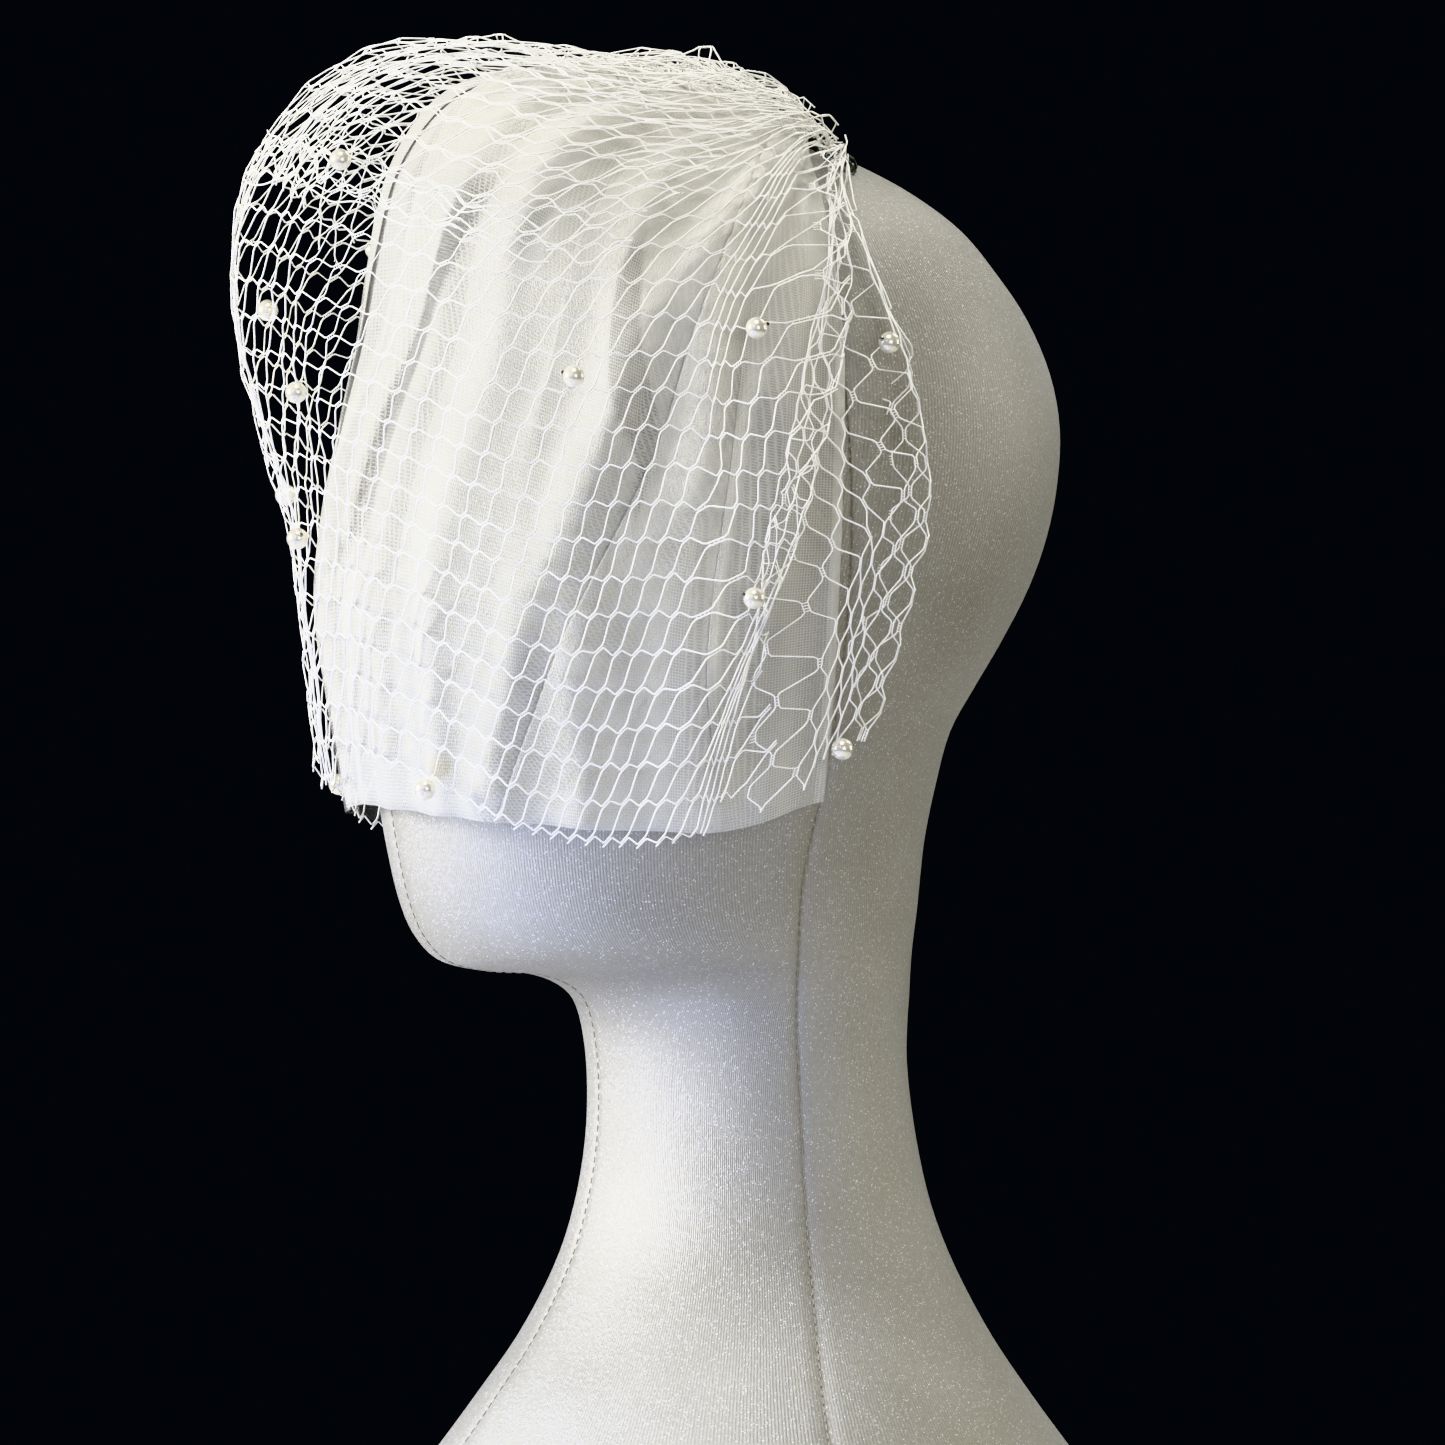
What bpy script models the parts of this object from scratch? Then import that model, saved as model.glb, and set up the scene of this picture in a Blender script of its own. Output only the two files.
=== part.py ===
# Birdcage bridal veil on a faceless display head, in metres, +Z up.
# The head looks along -Y. The origin is the middle of the underside of its foot.
# Sizes below are in millimetres and become metres where a mesh is made.

import math

import bmesh
import bpy
import numpy as np
from mathutils import Vector
from mathutils.bvhtree import BVHTree

MILLIMETRE = 0.001

# Driving sizes
TULLE_WALL = 1.0
NET_WALL = 1.0
PEARL_RADIUS = 3.0
SEAM_GAP = 0.3
COMB_LENGTH = 76.0
COMB_CELLS = 25
COMB_BAR = 3.0
COMB_Y = 11.0
ABOVE_CROWN = 600.0
TOOTH_LENGTH = 30.0
TOOTH_STEPS = 5
TOOTH_THICKNESS = 1.3

# Steps of the meshes
HEAD_SIDES = 32
NET_COLUMNS = 56
NET_ROWS = 20
TULLE_COLUMNS = 54
TULLE_ROWS = 16
RUFFLE_COLUMNS = 24
RUFFLE_ROWS = 5
PEARL_SIDES = 8
PEARL_RINGS = 5
PEARL_SEATING_STEPS = 8

# Display head, one row for each ring from the crown to the foot: the ring's front point,
# its back point and its half width. Rings under the chin are tilted.
# front_y, front_z, back_y, back_z, half_width
HEAD_APEX = (0.0, -18.0, 423.6)
HEAD_RINGS = (
    (-27.2, 422.0, -8.7, 422.0, 14.0),
    (-43.9, 419.0, 5.8, 419.0, 28.0),
    (-52.0, 415.0, 21.1, 415.0, 37.5),
    (-61.4, 410.0, 33.4, 410.0, 45.0),
    (-71.4, 403.0, 46.3, 403.0, 53.0),
    (-79.2, 394.0, 58.6, 394.0, 60.0),
    (-87.0, 383.0, 68.2, 383.0, 66.0),
    (-93.9, 370.0, 77.6, 370.0, 70.5),
    (-99.7, 355.0, 84.5, 355.0, 74.0),
    (-104.0, 340.0, 87.6, 340.0, 75.5),
    (-107.1, 325.0, 87.0, 325.0, 76.0),
    (-108.9, 310.0, 84.0, 310.0, 75.5),
    (-109.9, 295.0, 78.4, 295.0, 74.0),
    (-110.4, 280.0, 70.2, 280.0, 71.5),
    (-110.2, 267.0, 62.1, 267.0, 68.5),
    (-109.7, 253.0, 55.2, 255.0, 65.3),
    (-108.0, 237.0, 51.2, 240.0, 61.0),
    (-105.5, 222.0, 48.4, 226.0, 57.5),
    (-102.2, 208.3, 47.2, 215.0, 55.0),
    (-97.8, 198.6, 46.5, 207.0, 53.0),
    (-90.5, 191.7, 45.6, 200.0, 51.0),
    (-78.4, 188.9, 44.8, 194.0, 49.0),
    (-64.0, 188.0, 44.2, 188.0, 47.0),
    (-54.0, 184.5, 43.7, 181.0, 45.6),
    (-48.9, 178.0, 43.1, 174.0, 44.9),
    (-46.2, 163.0, 43.0, 162.0, 44.5),
    (-46.3, 144.0, 45.3, 144.0, 45.5),
    (-49.2, 125.0, 49.4, 125.0, 49.2),
    (-54.7, 107.5, 56.0, 107.5, 55.4),
    (-64.5, 88.5, 66.0, 88.5, 65.3),
    (-76.0, 72.0, 77.0, 72.0, 76.5),
    (-87.0, 57.0, 88.0, 57.0, 87.5),
    (-98.0, 43.0, 98.5, 43.0, 98.2),
    (-108.0, 29.0, 108.0, 29.0, 108.0),
    (-115.5, 16.0, 115.5, 16.0, 115.5),
    (-118.5, 6.0, 118.5, 6.0, 118.5),
    (-117.0, 0.0, 117.0, 0.0, 117.0),
)

# Outer net, one row for each section from the comb to the hem: the section's middle in front
# and its edge at the near side. The far side is its mirror.
# share_of_drop, front_y, front_z, side_x, side_y, side_z
NET_SECTIONS = (
    (0.00, 12.2, 425.1, 38.0, 12.2, 417.0),
    (0.04, 5.0, 431.5, 42.5, 10.0, 414.5),
    (0.09, -8.0, 438.0, 50.5, 6.0, 411.0),
    (0.15, -32.0, 441.5, 61.0, 2.5, 403.5),
    (0.225, -60.0, 443.0, 71.0, 3.0, 391.0),
    (0.30, -88.0, 445.5, 79.0, 6.5, 374.0),
    (0.36, -108.0, 443.5, 82.5, 9.5, 361.0),
    (0.42, -128.0, 432.0, 85.5, 12.0, 350.0),
    (0.48, -142.0, 414.5, 88.0, 14.0, 337.0),
    (0.55, -149.0, 390.0, 90.0, 15.4, 325.0),
    (0.62, -147.0, 366.0, 91.0, 14.5, 315.0),
    (0.70, -139.0, 340.0, 90.5, 12.0, 304.0),
    (0.78, -130.5, 314.0, 89.0, 9.0, 290.0),
    (0.86, -127.0, 289.0, 87.0, 6.0, 275.0),
    (0.93, -124.0, 265.0, 84.5, 2.5, 262.0),
    (1.00, -121.0, 243.0, 82.0, -2.0, 248.0),
)

# Inner tulle, with the same columns as the net
TULLE_SECTIONS = (
    (0.00, 10.5, 424.4, 24.0, 10.5, 421.8),
    (0.06, -6.0, 430.5, 34.5, 3.0, 419.5),
    (0.12, -24.0, 434.5, 45.0, -1.0, 414.0),
    (0.18, -42.0, 436.0, 55.5, -2.5, 405.0),
    (0.25, -62.0, 436.5, 64.5, -3.0, 392.5),
    (0.33, -84.0, 431.0, 72.5, -3.5, 376.0),
    (0.42, -99.5, 411.0, 77.5, -4.0, 358.0),
    (0.50, -104.5, 387.0, 80.0, -5.0, 342.0),
    (0.57, -107.5, 366.0, 81.5, -6.0, 327.0),
    (0.65, -113.5, 344.0, 82.0, -6.5, 310.0),
    (0.73, -119.0, 321.0, 81.0, -7.0, 293.0),
    (0.81, -121.5, 298.0, 79.0, -7.0, 276.0),
    (0.89, -118.5, 274.5, 75.5, -7.0, 260.0),
    (1.00, -113.0, 242.0, 70.5, -7.5, 236.0),
)

# How far each hem dips below its section, round from the front
# angle, net_drop, tulle_drop
HEM_DROPS = (
    (0.0, 0.0, 0.0),
    (20.0, 5.0, 5.0),
    (35.0, 14.0, 8.0),
    (52.0, 22.0, 10.0),
    (65.0, 21.0, 10.0),
    (78.0, 15.0, 8.0),
    (90.0, 0.0, 0.0),
)

# Soft folds that run down from the comb
# angle_at_comb, angle_at_hem, height, half_angle
NET_FOLDS = (
    (88.0, 65.0, 4.0, 4.5),
    (70.0, 82.0, 2.5, 4.0),
    (47.0, 40.0, 3.0, 5.0),
    (20.0, 14.0, 3.0, 5.0),
    (-5.0, -4.0, 2.5, 5.0),
    (-28.0, -24.0, 3.0, 5.0),
    (-50.0, -44.0, 3.0, 5.0),
    (-85.0, -62.0, 4.0, 4.5),
    (-68.0, -80.0, 2.5, 4.0),
)
TULLE_FOLDS = (
    (84.0, 82.0, 2.5, 4.0),
    (66.0, 74.0, 3.5, 4.5),
    (82.0, 36.0, 4.0, 4.5),
    (56.0, 54.0, 3.0, 4.5),
    (40.0, 24.0, 3.0, 4.5),
    (25.0, 10.0, 3.0, 4.5),
    (8.0, 1.0, 2.5, 4.5),
    (-10.0, -9.0, 3.0, 4.5),
    (-26.0, -20.0, 3.0, 4.5),
    (-42.0, -34.0, 3.5, 4.5),
    (-58.0, -50.0, 3.0, 4.5),
    (-72.0, -64.0, 3.5, 4.5),
    (-84.0, -80.0, 2.5, 4.0),
)
GATHERS = 12
NET_GATHER_HEIGHT = 1.5
TULLE_GATHER_HEIGHT = 1.3

# Shape of a section: 1 is an ellipse, less is squarer at the corners
SECTION_CORNER = 0.87
# How round each layer stands from its middle down to its edges: less is fuller
NET_SHOULDER = 0.95
TULLE_SHOULDER = 1.4
# The net's short edges turn under: radius, and length of the straight part at the comb and below
LIP_RADIUS = 4.3
LIP_START = 1.5
LIP_RETURN = 6.0
LIP_ANGLE = 24.0
LIP_TURN_SHARE = 0.6

# Upper turned-over stretch of net under the puff, whose columns and rows lie under the net's
NET_EDGE_ANGLE = 90.0 + LIP_ANGLE
RUFFLE_HALF_ANGLE = NET_EDGE_ANGLE * RUFFLE_COLUMNS / NET_COLUMNS
RUFFLE_FROM = 0.25
RUFFLE_TO = RUFFLE_FROM + RUFFLE_ROWS / NET_ROWS
RUFFLE_GAP = 0.6
RUFFLE_DEPTH = 5.0

# Pearls on knots of the net: angle round from the front, share of the drop
# angle, share
PEARL_PLACES = (
    (20.0, 0.480),
    (12.0, 0.665),
    (-1.0, 0.795),
    (26.0, 0.985),
    (56.0, 0.578),
    (74.5, 0.460),
    (88.5, 0.375),
    (74.0, 0.755),
    (87.0, 0.965),
    (-38.0, 0.560),
    (-34.0, 0.720),
    (-54.0, 0.460),
    (-77.0, 0.410),
    (-88.0, 0.620),
    (-68.0, 0.860),
    (-42.0, 0.950),
)


def remove_everything():
    """Empty the scene before the model is made."""
    for thing in list(bpy.data.objects):
        bpy.data.objects.remove(thing, do_unlink=True)


def make_material(name, colour, roughness, metallic=0.0):
    """A Principled material of one colour."""
    material = bpy.data.materials.new(name)
    material.use_nodes = True
    shader = material.node_tree.nodes["Principled BSDF"]
    shader.inputs["Base Color"].default_value = (*colour, 1.0)
    shader.inputs["Roughness"].default_value = roughness
    shader.inputs["Metallic"].default_value = metallic
    return material


def make_object(name, mesh_builder, material, smooth=True):
    """Turn a bmesh in millimetres into a named object in metres."""
    bmesh.ops.scale(mesh_builder, vec=(MILLIMETRE,) * 3, verts=mesh_builder.verts)
    mesh = bpy.data.meshes.new(name)
    mesh_builder.to_mesh(mesh)
    mesh_builder.free()
    if smooth:
        mesh.shade_smooth()
    mesh.materials.append(material)
    thing = bpy.data.objects.new(name, mesh)
    bpy.context.collection.objects.link(thing)
    return thing


def ramp(value, start, end):
    """A smooth step from 0 at start to 1 at end."""
    part = np.clip((value - start) / (end - start), 0.0, 1.0)
    return part * part * (3.0 - 2.0 * part)


def read_columns(table, share):
    """The table's other columns at each share, on a smooth curve through its rows."""
    rows = np.array(table)
    knots = rows[:, 0]
    values = rows[:, 1:]
    slopes = np.gradient(values, knots, axis=0)
    share = np.clip(share, knots[0], knots[-1])
    low = np.clip(np.searchsorted(knots, share) - 1, 0, len(knots) - 2)
    step = (knots[low + 1] - knots[low])[:, None]
    part = (share - knots[low])[:, None] / step
    start = (1 + 2 * part) * (1 - part) ** 2 * values[low]
    start_slope = part * (1 - part) ** 2 * step * slopes[low]
    end = part**2 * (3 - 2 * part) * values[low + 1]
    end_slope = part**2 * (part - 1) * step * slopes[low + 1]
    return start + start_slope + end + end_slope


def section_points(sections, shoulder, drop_column, angle, share):
    """Points of a layer before its folds; past 90 degrees the edge turns under."""
    front_y, front_z, side_x, side_y, side_z = read_columns(sections, share).T
    turn = np.radians(np.clip(angle, -90.0, 90.0))
    across = np.sign(turn) * np.abs(np.sin(turn)) ** SECTION_CORNER
    ahead = np.clip(np.cos(turn), 0.0, 1.0)
    x = side_x * across
    y = side_y - (side_y - front_y) * ahead**SECTION_CORNER
    arch = 2.0 - (2.0 - shoulder) * ramp(share, 0.0, 0.1)
    z = side_z + (front_z - side_z) * ahead**arch
    drops = read_columns(HEM_DROPS, np.minimum(np.abs(angle), 90.0))[:, drop_column]
    z = z - drops * ramp(share, 0.45, 1.0)
    under = (np.abs(angle) - 90.0) / LIP_ANGLE
    whole_turn = np.pi * ramp(share, 0.3, 0.5)
    curl = whole_turn * np.clip(under / LIP_TURN_SHARE, 0.0, 1.0)
    back = np.clip((under - LIP_TURN_SHARE) / (1.0 - LIP_TURN_SHARE), 0.0, 1.1)
    length = LIP_START + (LIP_RETURN - LIP_START) * ramp(share, 0.3, 0.5)
    early = LIP_START * np.clip(under, 0.0, LIP_TURN_SHARE) * (1.0 - ramp(share, 0.3, 0.5))
    inward = LIP_RADIUS * (1.0 - np.cos(curl)) + length * back * np.sin(whole_turn)
    x = x - np.sign(turn) * inward
    y = y + early + LIP_RADIUS * np.sin(curl) + length * back * np.cos(whole_turn)
    return np.stack([x, y, z], axis=1)


def surface_normals(point_function, angle, share):
    """Outward directions of a layer, from small steps both ways."""
    across = point_function(angle + 0.5, share) - point_function(angle - 0.5, share)
    up = point_function(angle, np.clip(share - 0.005, 0.0, 1.0))
    down = point_function(angle, np.clip(share + 0.005, 0.0, 1.0))
    normal = np.cross(down - up, across)
    return normal / np.linalg.norm(normal, axis=1)[:, None]


def fold_heights(folds, gather_height, angle, share):
    """How far folds and gathers stand out from a layer's plain form."""
    height = np.zeros_like(angle)
    for top_angle, hem_angle, fold_height, half_angle in folds:
        middle = top_angle + (hem_angle - top_angle) * share
        bump = np.exp(-(((angle - middle) / half_angle) ** 2))
        height = height + fold_height * bump * ramp(share, 0.02, 0.3)
    wave = 0.5 - 0.5 * np.cos(np.radians(angle + 90.0) * 2.0 * GATHERS)
    envelope = ramp(share, -0.03, 0.12) * (1.0 - ramp(share, 0.15, 0.5))
    height = height + gather_height * wave * envelope
    return height * (1.0 - ramp(np.abs(angle), 84.0, 90.0))


def net_plain(angle, share):
    """The net before its folds."""
    return section_points(NET_SECTIONS, NET_SHOULDER, 0, angle, share)


def net_points(angle, share):
    """The net's outer face."""
    heights = fold_heights(NET_FOLDS, NET_GATHER_HEIGHT, angle, share)
    return net_plain(angle, share) + surface_normals(net_plain, angle, share) * heights[:, None]


def tulle_plain(angle, share):
    """The tulle before its folds."""
    return section_points(TULLE_SECTIONS, TULLE_SHOULDER, 1, angle, share)


def tulle_points(angle, share):
    """The tulle's outer face."""
    heights = fold_heights(TULLE_FOLDS, TULLE_GATHER_HEIGHT, angle, share)
    return tulle_plain(angle, share) + surface_normals(tulle_plain, angle, share) * heights[:, None]


def ruffle_points(angle, share):
    """The turned-over net, under the puff and fastened to it at its back edge."""
    depth = NET_WALL + RUFFLE_GAP + RUFFLE_DEPTH * ramp(share, RUFFLE_FROM, RUFFLE_TO)
    return net_points(angle, share) - surface_normals(net_points, angle, share) * depth[:, None]


def cloth_wall(name, point_function, angles, shares, columns, rows, wall, material):
    """One layer of cloth: a grid laid on its form, given its wall on the inside.

    It returns the layer's outer face, for what is sewn on it.
    """
    builder = bmesh.new()
    bmesh.ops.create_grid(builder, x_segments=columns, y_segments=rows, size=0.5)
    places = np.array([vertex.co[:] for vertex in builder.verts])
    angle = angles[0] + (angles[1] - angles[0]) * (places[:, 0] + 0.5)
    share = shares[0] + (shares[1] - shares[0]) * (0.5 - places[:, 1])
    for vertex, point in zip(builder.verts, point_function(angle, share)):
        vertex.co = point
    outer_face = BVHTree.FromBMesh(builder)
    thing = make_object(name, builder, material)
    solidify = thing.modifiers.new("wall", "SOLIDIFY")
    solidify.thickness = wall * MILLIMETRE
    solidify.offset = -1.0
    return outer_face


def head_ring(row):
    """Points of one ring of the display head."""
    front_y, front_z, back_y, back_z, half_width = row
    middle = Vector((0.0, (front_y + back_y) / 2, (front_z + back_z) / 2))
    forward = Vector((0.0, front_y, front_z)) - middle
    points = []
    for side in range(HEAD_SIDES):
        turn = 2 * math.pi * side / HEAD_SIDES
        sideways = Vector((half_width * math.sin(turn), 0.0, 0.0))
        points.append(middle + forward * math.cos(turn) + sideways)
    return points


def build_head(material):
    """The display head, neck and flared foot as one closed form with a flat underside."""
    builder = bmesh.new()
    rings = [[builder.verts.new(point) for point in head_ring(row)] for row in HEAD_RINGS]
    for ring in rings:
        for side in range(HEAD_SIDES):
            builder.edges.new((ring[side], ring[(side + 1) % HEAD_SIDES]))
    for upper, lower in zip(rings, rings[1:]):
        edges = [edge for edge in builder.edges if edge.verts[0] in upper and edge.verts[1] in upper]
        edges += [edge for edge in builder.edges if edge.verts[0] in lower and edge.verts[1] in lower]
        bmesh.ops.bridge_loops(builder, edges=edges)
    apex = builder.verts.new(HEAD_APEX)
    for side in range(HEAD_SIDES):
        builder.faces.new((rings[0][side], rings[0][(side + 1) % HEAD_SIDES], apex))
    builder.faces.new(rings[-1])
    bmesh.ops.recalc_face_normals(builder, faces=builder.faces)
    crown = BVHTree.FromBMesh(builder)
    head = make_object("display_head", builder, material)
    head.data.set_sharp_from_angle(angle=math.radians(50))
    return crown


def height_on_head(crown, x, y, half_size):
    """Highest point of the display head's crown under a small square."""
    heights = []
    for side_x in (-half_size, 0.0, half_size):
        for side_y in (-half_size, 0.0, half_size):
            start = Vector((x + side_x, y + side_y, ABOVE_CROWN))
            heights.append(crown.ray_cast(start, Vector((0.0, 0.0, -1.0)))[0].z)
    return max(heights)


def build_comb(crown, material):
    """A bar that follows the crown, with teeth drawn forward out of every second cell."""
    builder = bmesh.new()
    cell = COMB_LENGTH / COMB_CELLS
    stations = [-COMB_LENGTH / 2 + cell * index for index in range(COMB_CELLS + 1)]
    loops = []
    for x in stations:
        low = height_on_head(crown, x, COMB_Y, COMB_BAR / 2) + SEAM_GAP
        corners = ((-1, 0), (1, 0), (1, 1), (-1, 1))
        loop = []
        for side, level in corners:
            y = COMB_Y + side * COMB_BAR / 2
            loop.append(builder.verts.new((x, y, low + level * COMB_BAR)))
        loops.append(loop)
    front_faces = []
    for index in range(COMB_CELLS):
        first, second = loops[index], loops[index + 1]
        for corner in range(4):
            following = (corner + 1) % 4
            face = builder.faces.new(
                (first[corner], first[following], second[following], second[corner])
            )
            if corner == 3 and index % 2 == 0:
                front_faces.append(face)
    builder.faces.new(loops[0])
    builder.faces.new(loops[-1])
    bmesh.ops.recalc_face_normals(builder, faces=builder.faces)
    for face in front_faces:
        draw_tooth(builder, crown, face)
    return make_object("comb", builder, material, smooth=False)


def draw_tooth(builder, crown, face):
    """Extrude one tooth forward over the crown, step by step."""
    x = face.calc_center_median().x
    for step in range(1, TOOTH_STEPS + 1):
        face = bmesh.ops.extrude_discrete_faces(builder, faces=[face])["faces"][0]
        y = COMB_Y - COMB_BAR / 2 - TOOTH_LENGTH * step / TOOTH_STEPS
        low = height_on_head(crown, x, y, COMB_BAR / 2) + SEAM_GAP
        middle_z = face.calc_center_median().z
        for vertex in face.verts:
            side = 1.0 if vertex.co.x > x else -1.0
            rise = TOOTH_THICKNESS if vertex.co.z > middle_z else 0.0
            vertex.co = (x + side * TOOTH_THICKNESS / 2, y, low + rise)


def seat_pearl(net_face, seat, outward):
    """A pearl's centre, moved outward until it just clears the net's outer face."""
    centre = Vector(seat) + Vector(outward) * PEARL_RADIUS
    for _ in range(PEARL_SEATING_STEPS):
        distance = net_face.find_nearest(centre)[3]
        centre += Vector(outward) * (PEARL_RADIUS + SEAM_GAP - distance)
    return centre


def build_pearls(net_face, material):
    """Round pearls, each sitting on the net's outer face."""
    angle, share = np.array(PEARL_PLACES).T
    seats = net_points(angle, share)
    directions = surface_normals(net_points, angle, share)
    for number, (seat, outward) in enumerate(zip(seats, directions), start=1):
        centre = seat_pearl(net_face, seat, outward)
        builder = bmesh.new()
        bmesh.ops.create_uvsphere(
            builder, u_segments=PEARL_SIDES, v_segments=PEARL_RINGS, radius=PEARL_RADIUS
        )
        bmesh.ops.translate(builder, vec=centre, verts=builder.verts)
        make_object(f"pearl_{number:02d}", builder, material)


def build():
    """Make every piece of the veil and the head that it rests on."""
    remove_everything()
    velvet = make_material("velvet", (0.62, 0.58, 0.52), 0.85)
    tulle = make_material("tulle", (0.90, 0.89, 0.85), 0.8)
    netting = make_material("netting", (0.93, 0.92, 0.88), 0.6)
    wire = make_material("comb_wire", (0.45, 0.46, 0.46), 0.3, 1.0)
    pearl = make_material("pearl", (0.88, 0.86, 0.78), 0.2)

    crown = build_head(velvet)
    build_comb(crown, wire)
    cloth_wall(
        "tulle_blusher", tulle_points, (-90.0, 90.0), (0.0, 1.0),
        TULLE_COLUMNS, TULLE_ROWS, TULLE_WALL, tulle,
    )
    net_face = cloth_wall(
        "net_cage", net_points, (-NET_EDGE_ANGLE, NET_EDGE_ANGLE), (0.0, 1.0),
        NET_COLUMNS, NET_ROWS, NET_WALL, netting,
    )
    cloth_wall(
        "net_ruffle", ruffle_points, (-RUFFLE_HALF_ANGLE, RUFFLE_HALF_ANGLE),
        (RUFFLE_FROM, RUFFLE_TO), RUFFLE_COLUMNS, RUFFLE_ROWS, NET_WALL, netting,
    )
    build_pearls(net_face, pearl)


build()
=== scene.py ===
"""Birdcage bridal veil on a display head: open netting with pearls over a tulle blusher."""

import math

import bmesh
import bpy
import numpy as np
from bpy.props import FloatProperty, FloatVectorProperty, PointerProperty
from mathutils import Matrix, Vector


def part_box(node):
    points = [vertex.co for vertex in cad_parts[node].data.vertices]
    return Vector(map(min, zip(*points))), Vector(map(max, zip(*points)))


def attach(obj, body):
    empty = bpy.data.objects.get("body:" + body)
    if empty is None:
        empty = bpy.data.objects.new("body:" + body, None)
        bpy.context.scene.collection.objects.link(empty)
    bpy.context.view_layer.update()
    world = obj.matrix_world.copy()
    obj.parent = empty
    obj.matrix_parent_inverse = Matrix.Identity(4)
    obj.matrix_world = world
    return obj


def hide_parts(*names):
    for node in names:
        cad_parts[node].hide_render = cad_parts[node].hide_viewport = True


bl_info = {
    "name": "Birdcage Veil",
    "version": (1, 0, 0),
    "blender": (4, 5, 0),
    "location": "3D View > Sidebar > Veil",
    "description": "Models a birdcage bridal veil with pearls on a velvet display head",
    "category": "Object",
}

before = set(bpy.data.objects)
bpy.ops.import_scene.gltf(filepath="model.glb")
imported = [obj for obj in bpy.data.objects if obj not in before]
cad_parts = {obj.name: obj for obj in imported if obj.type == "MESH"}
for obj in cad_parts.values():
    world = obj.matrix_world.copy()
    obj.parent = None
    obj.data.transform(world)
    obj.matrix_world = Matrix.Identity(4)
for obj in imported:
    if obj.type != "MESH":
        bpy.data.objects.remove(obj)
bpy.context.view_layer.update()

MILLIMETRE = 0.001

# Display head, one row for each ring from the crown to the foot, in millimetres
# front_y, front_z, back_y, back_z, half_width
HEAD_RINGS = (
    (-18.0, 423.6, -18.0, 423.6, 0.0),
    (-27.2, 422.0, -8.7, 422.0, 14.0),
    (-43.9, 419.0, 5.8, 419.0, 28.0),
    (-52.0, 415.0, 21.1, 415.0, 37.5),
    (-61.4, 410.0, 33.4, 410.0, 45.0),
    (-71.4, 403.0, 46.3, 403.0, 53.0),
    (-79.2, 394.0, 58.6, 394.0, 60.0),
    (-87.0, 383.0, 68.2, 383.0, 66.0),
    (-93.9, 370.0, 77.6, 370.0, 70.5),
    (-99.7, 355.0, 84.5, 355.0, 74.0),
    (-104.0, 340.0, 87.6, 340.0, 75.5),
    (-107.1, 325.0, 87.0, 325.0, 76.0),
    (-108.9, 310.0, 84.0, 310.0, 75.5),
    (-109.9, 295.0, 78.4, 295.0, 74.0),
    (-110.4, 280.0, 70.2, 280.0, 71.5),
    (-110.2, 267.0, 62.1, 267.0, 68.5),
    (-109.7, 253.0, 55.2, 255.0, 65.3),
    (-108.0, 237.0, 51.2, 240.0, 61.0),
    (-105.5, 222.0, 48.4, 226.0, 57.5),
    (-102.2, 208.3, 47.2, 215.0, 55.0),
    (-97.8, 198.6, 46.5, 207.0, 53.0),
    (-90.5, 191.7, 45.6, 200.0, 51.0),
    (-78.4, 188.9, 44.8, 194.0, 49.0),
    (-64.0, 188.0, 44.2, 188.0, 47.0),
    (-54.0, 184.5, 43.7, 181.0, 45.6),
    (-48.9, 178.0, 43.1, 174.0, 44.9),
    (-46.2, 163.0, 43.0, 162.0, 44.5),
    (-46.3, 144.0, 45.3, 144.0, 45.5),
    (-49.2, 125.0, 49.4, 125.0, 49.2),
    (-54.7, 107.5, 56.0, 107.5, 55.4),
    (-64.5, 88.5, 66.0, 88.5, 65.3),
    (-76.0, 72.0, 77.0, 72.0, 76.5),
    (-87.0, 57.0, 88.0, 57.0, 87.5),
    (-98.0, 43.0, 98.5, 43.0, 98.2),
    (-108.0, 29.0, 108.0, 29.0, 108.0),
    (-115.5, 16.0, 115.5, 16.0, 115.5),
    (-118.5, 6.0, 118.5, 6.0, 118.5),
    (-117.0, 0.0, 117.0, 0.0, 117.0),
)

# Where the side seam runs down the head
# height, seam_y
SIDE_SEAM = (
    (0.0, -14.0),
    (58.0, -11.6),
    (97.0, -6.0),
    (139.0, -3.6),
    (180.0, -5.0),
    (214.0, -6.0),
    (240.0, -2.0),
    (300.0, -0.5),
    (424.0, -8.0),
)

# Outer net, one row for each section from the comb to the hem
# share_of_drop, front_y, front_z, side_x, side_y, side_z
NET_SECTIONS = (
    (0.00, 12.2, 425.1, 38.0, 12.2, 417.0),
    (0.04, 5.0, 431.5, 42.5, 10.0, 414.5),
    (0.09, -8.0, 438.0, 50.5, 6.0, 411.0),
    (0.15, -32.0, 441.5, 61.0, 2.5, 403.5),
    (0.225, -60.0, 443.0, 71.0, 3.0, 391.0),
    (0.30, -88.0, 445.5, 79.0, 6.5, 374.0),
    (0.36, -108.0, 443.5, 82.5, 9.5, 361.0),
    (0.42, -128.0, 432.0, 85.5, 12.0, 350.0),
    (0.48, -142.0, 414.5, 88.0, 14.0, 337.0),
    (0.55, -149.0, 390.0, 90.0, 15.4, 325.0),
    (0.62, -147.0, 366.0, 91.0, 14.5, 315.0),
    (0.70, -139.0, 340.0, 90.5, 12.0, 304.0),
    (0.78, -130.5, 314.0, 89.0, 9.0, 290.0),
    (0.86, -127.0, 289.0, 87.0, 6.0, 275.0),
    (0.93, -124.0, 265.0, 84.5, 2.5, 262.0),
    (1.00, -121.0, 243.0, 82.0, -2.0, 248.0),
)

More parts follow.
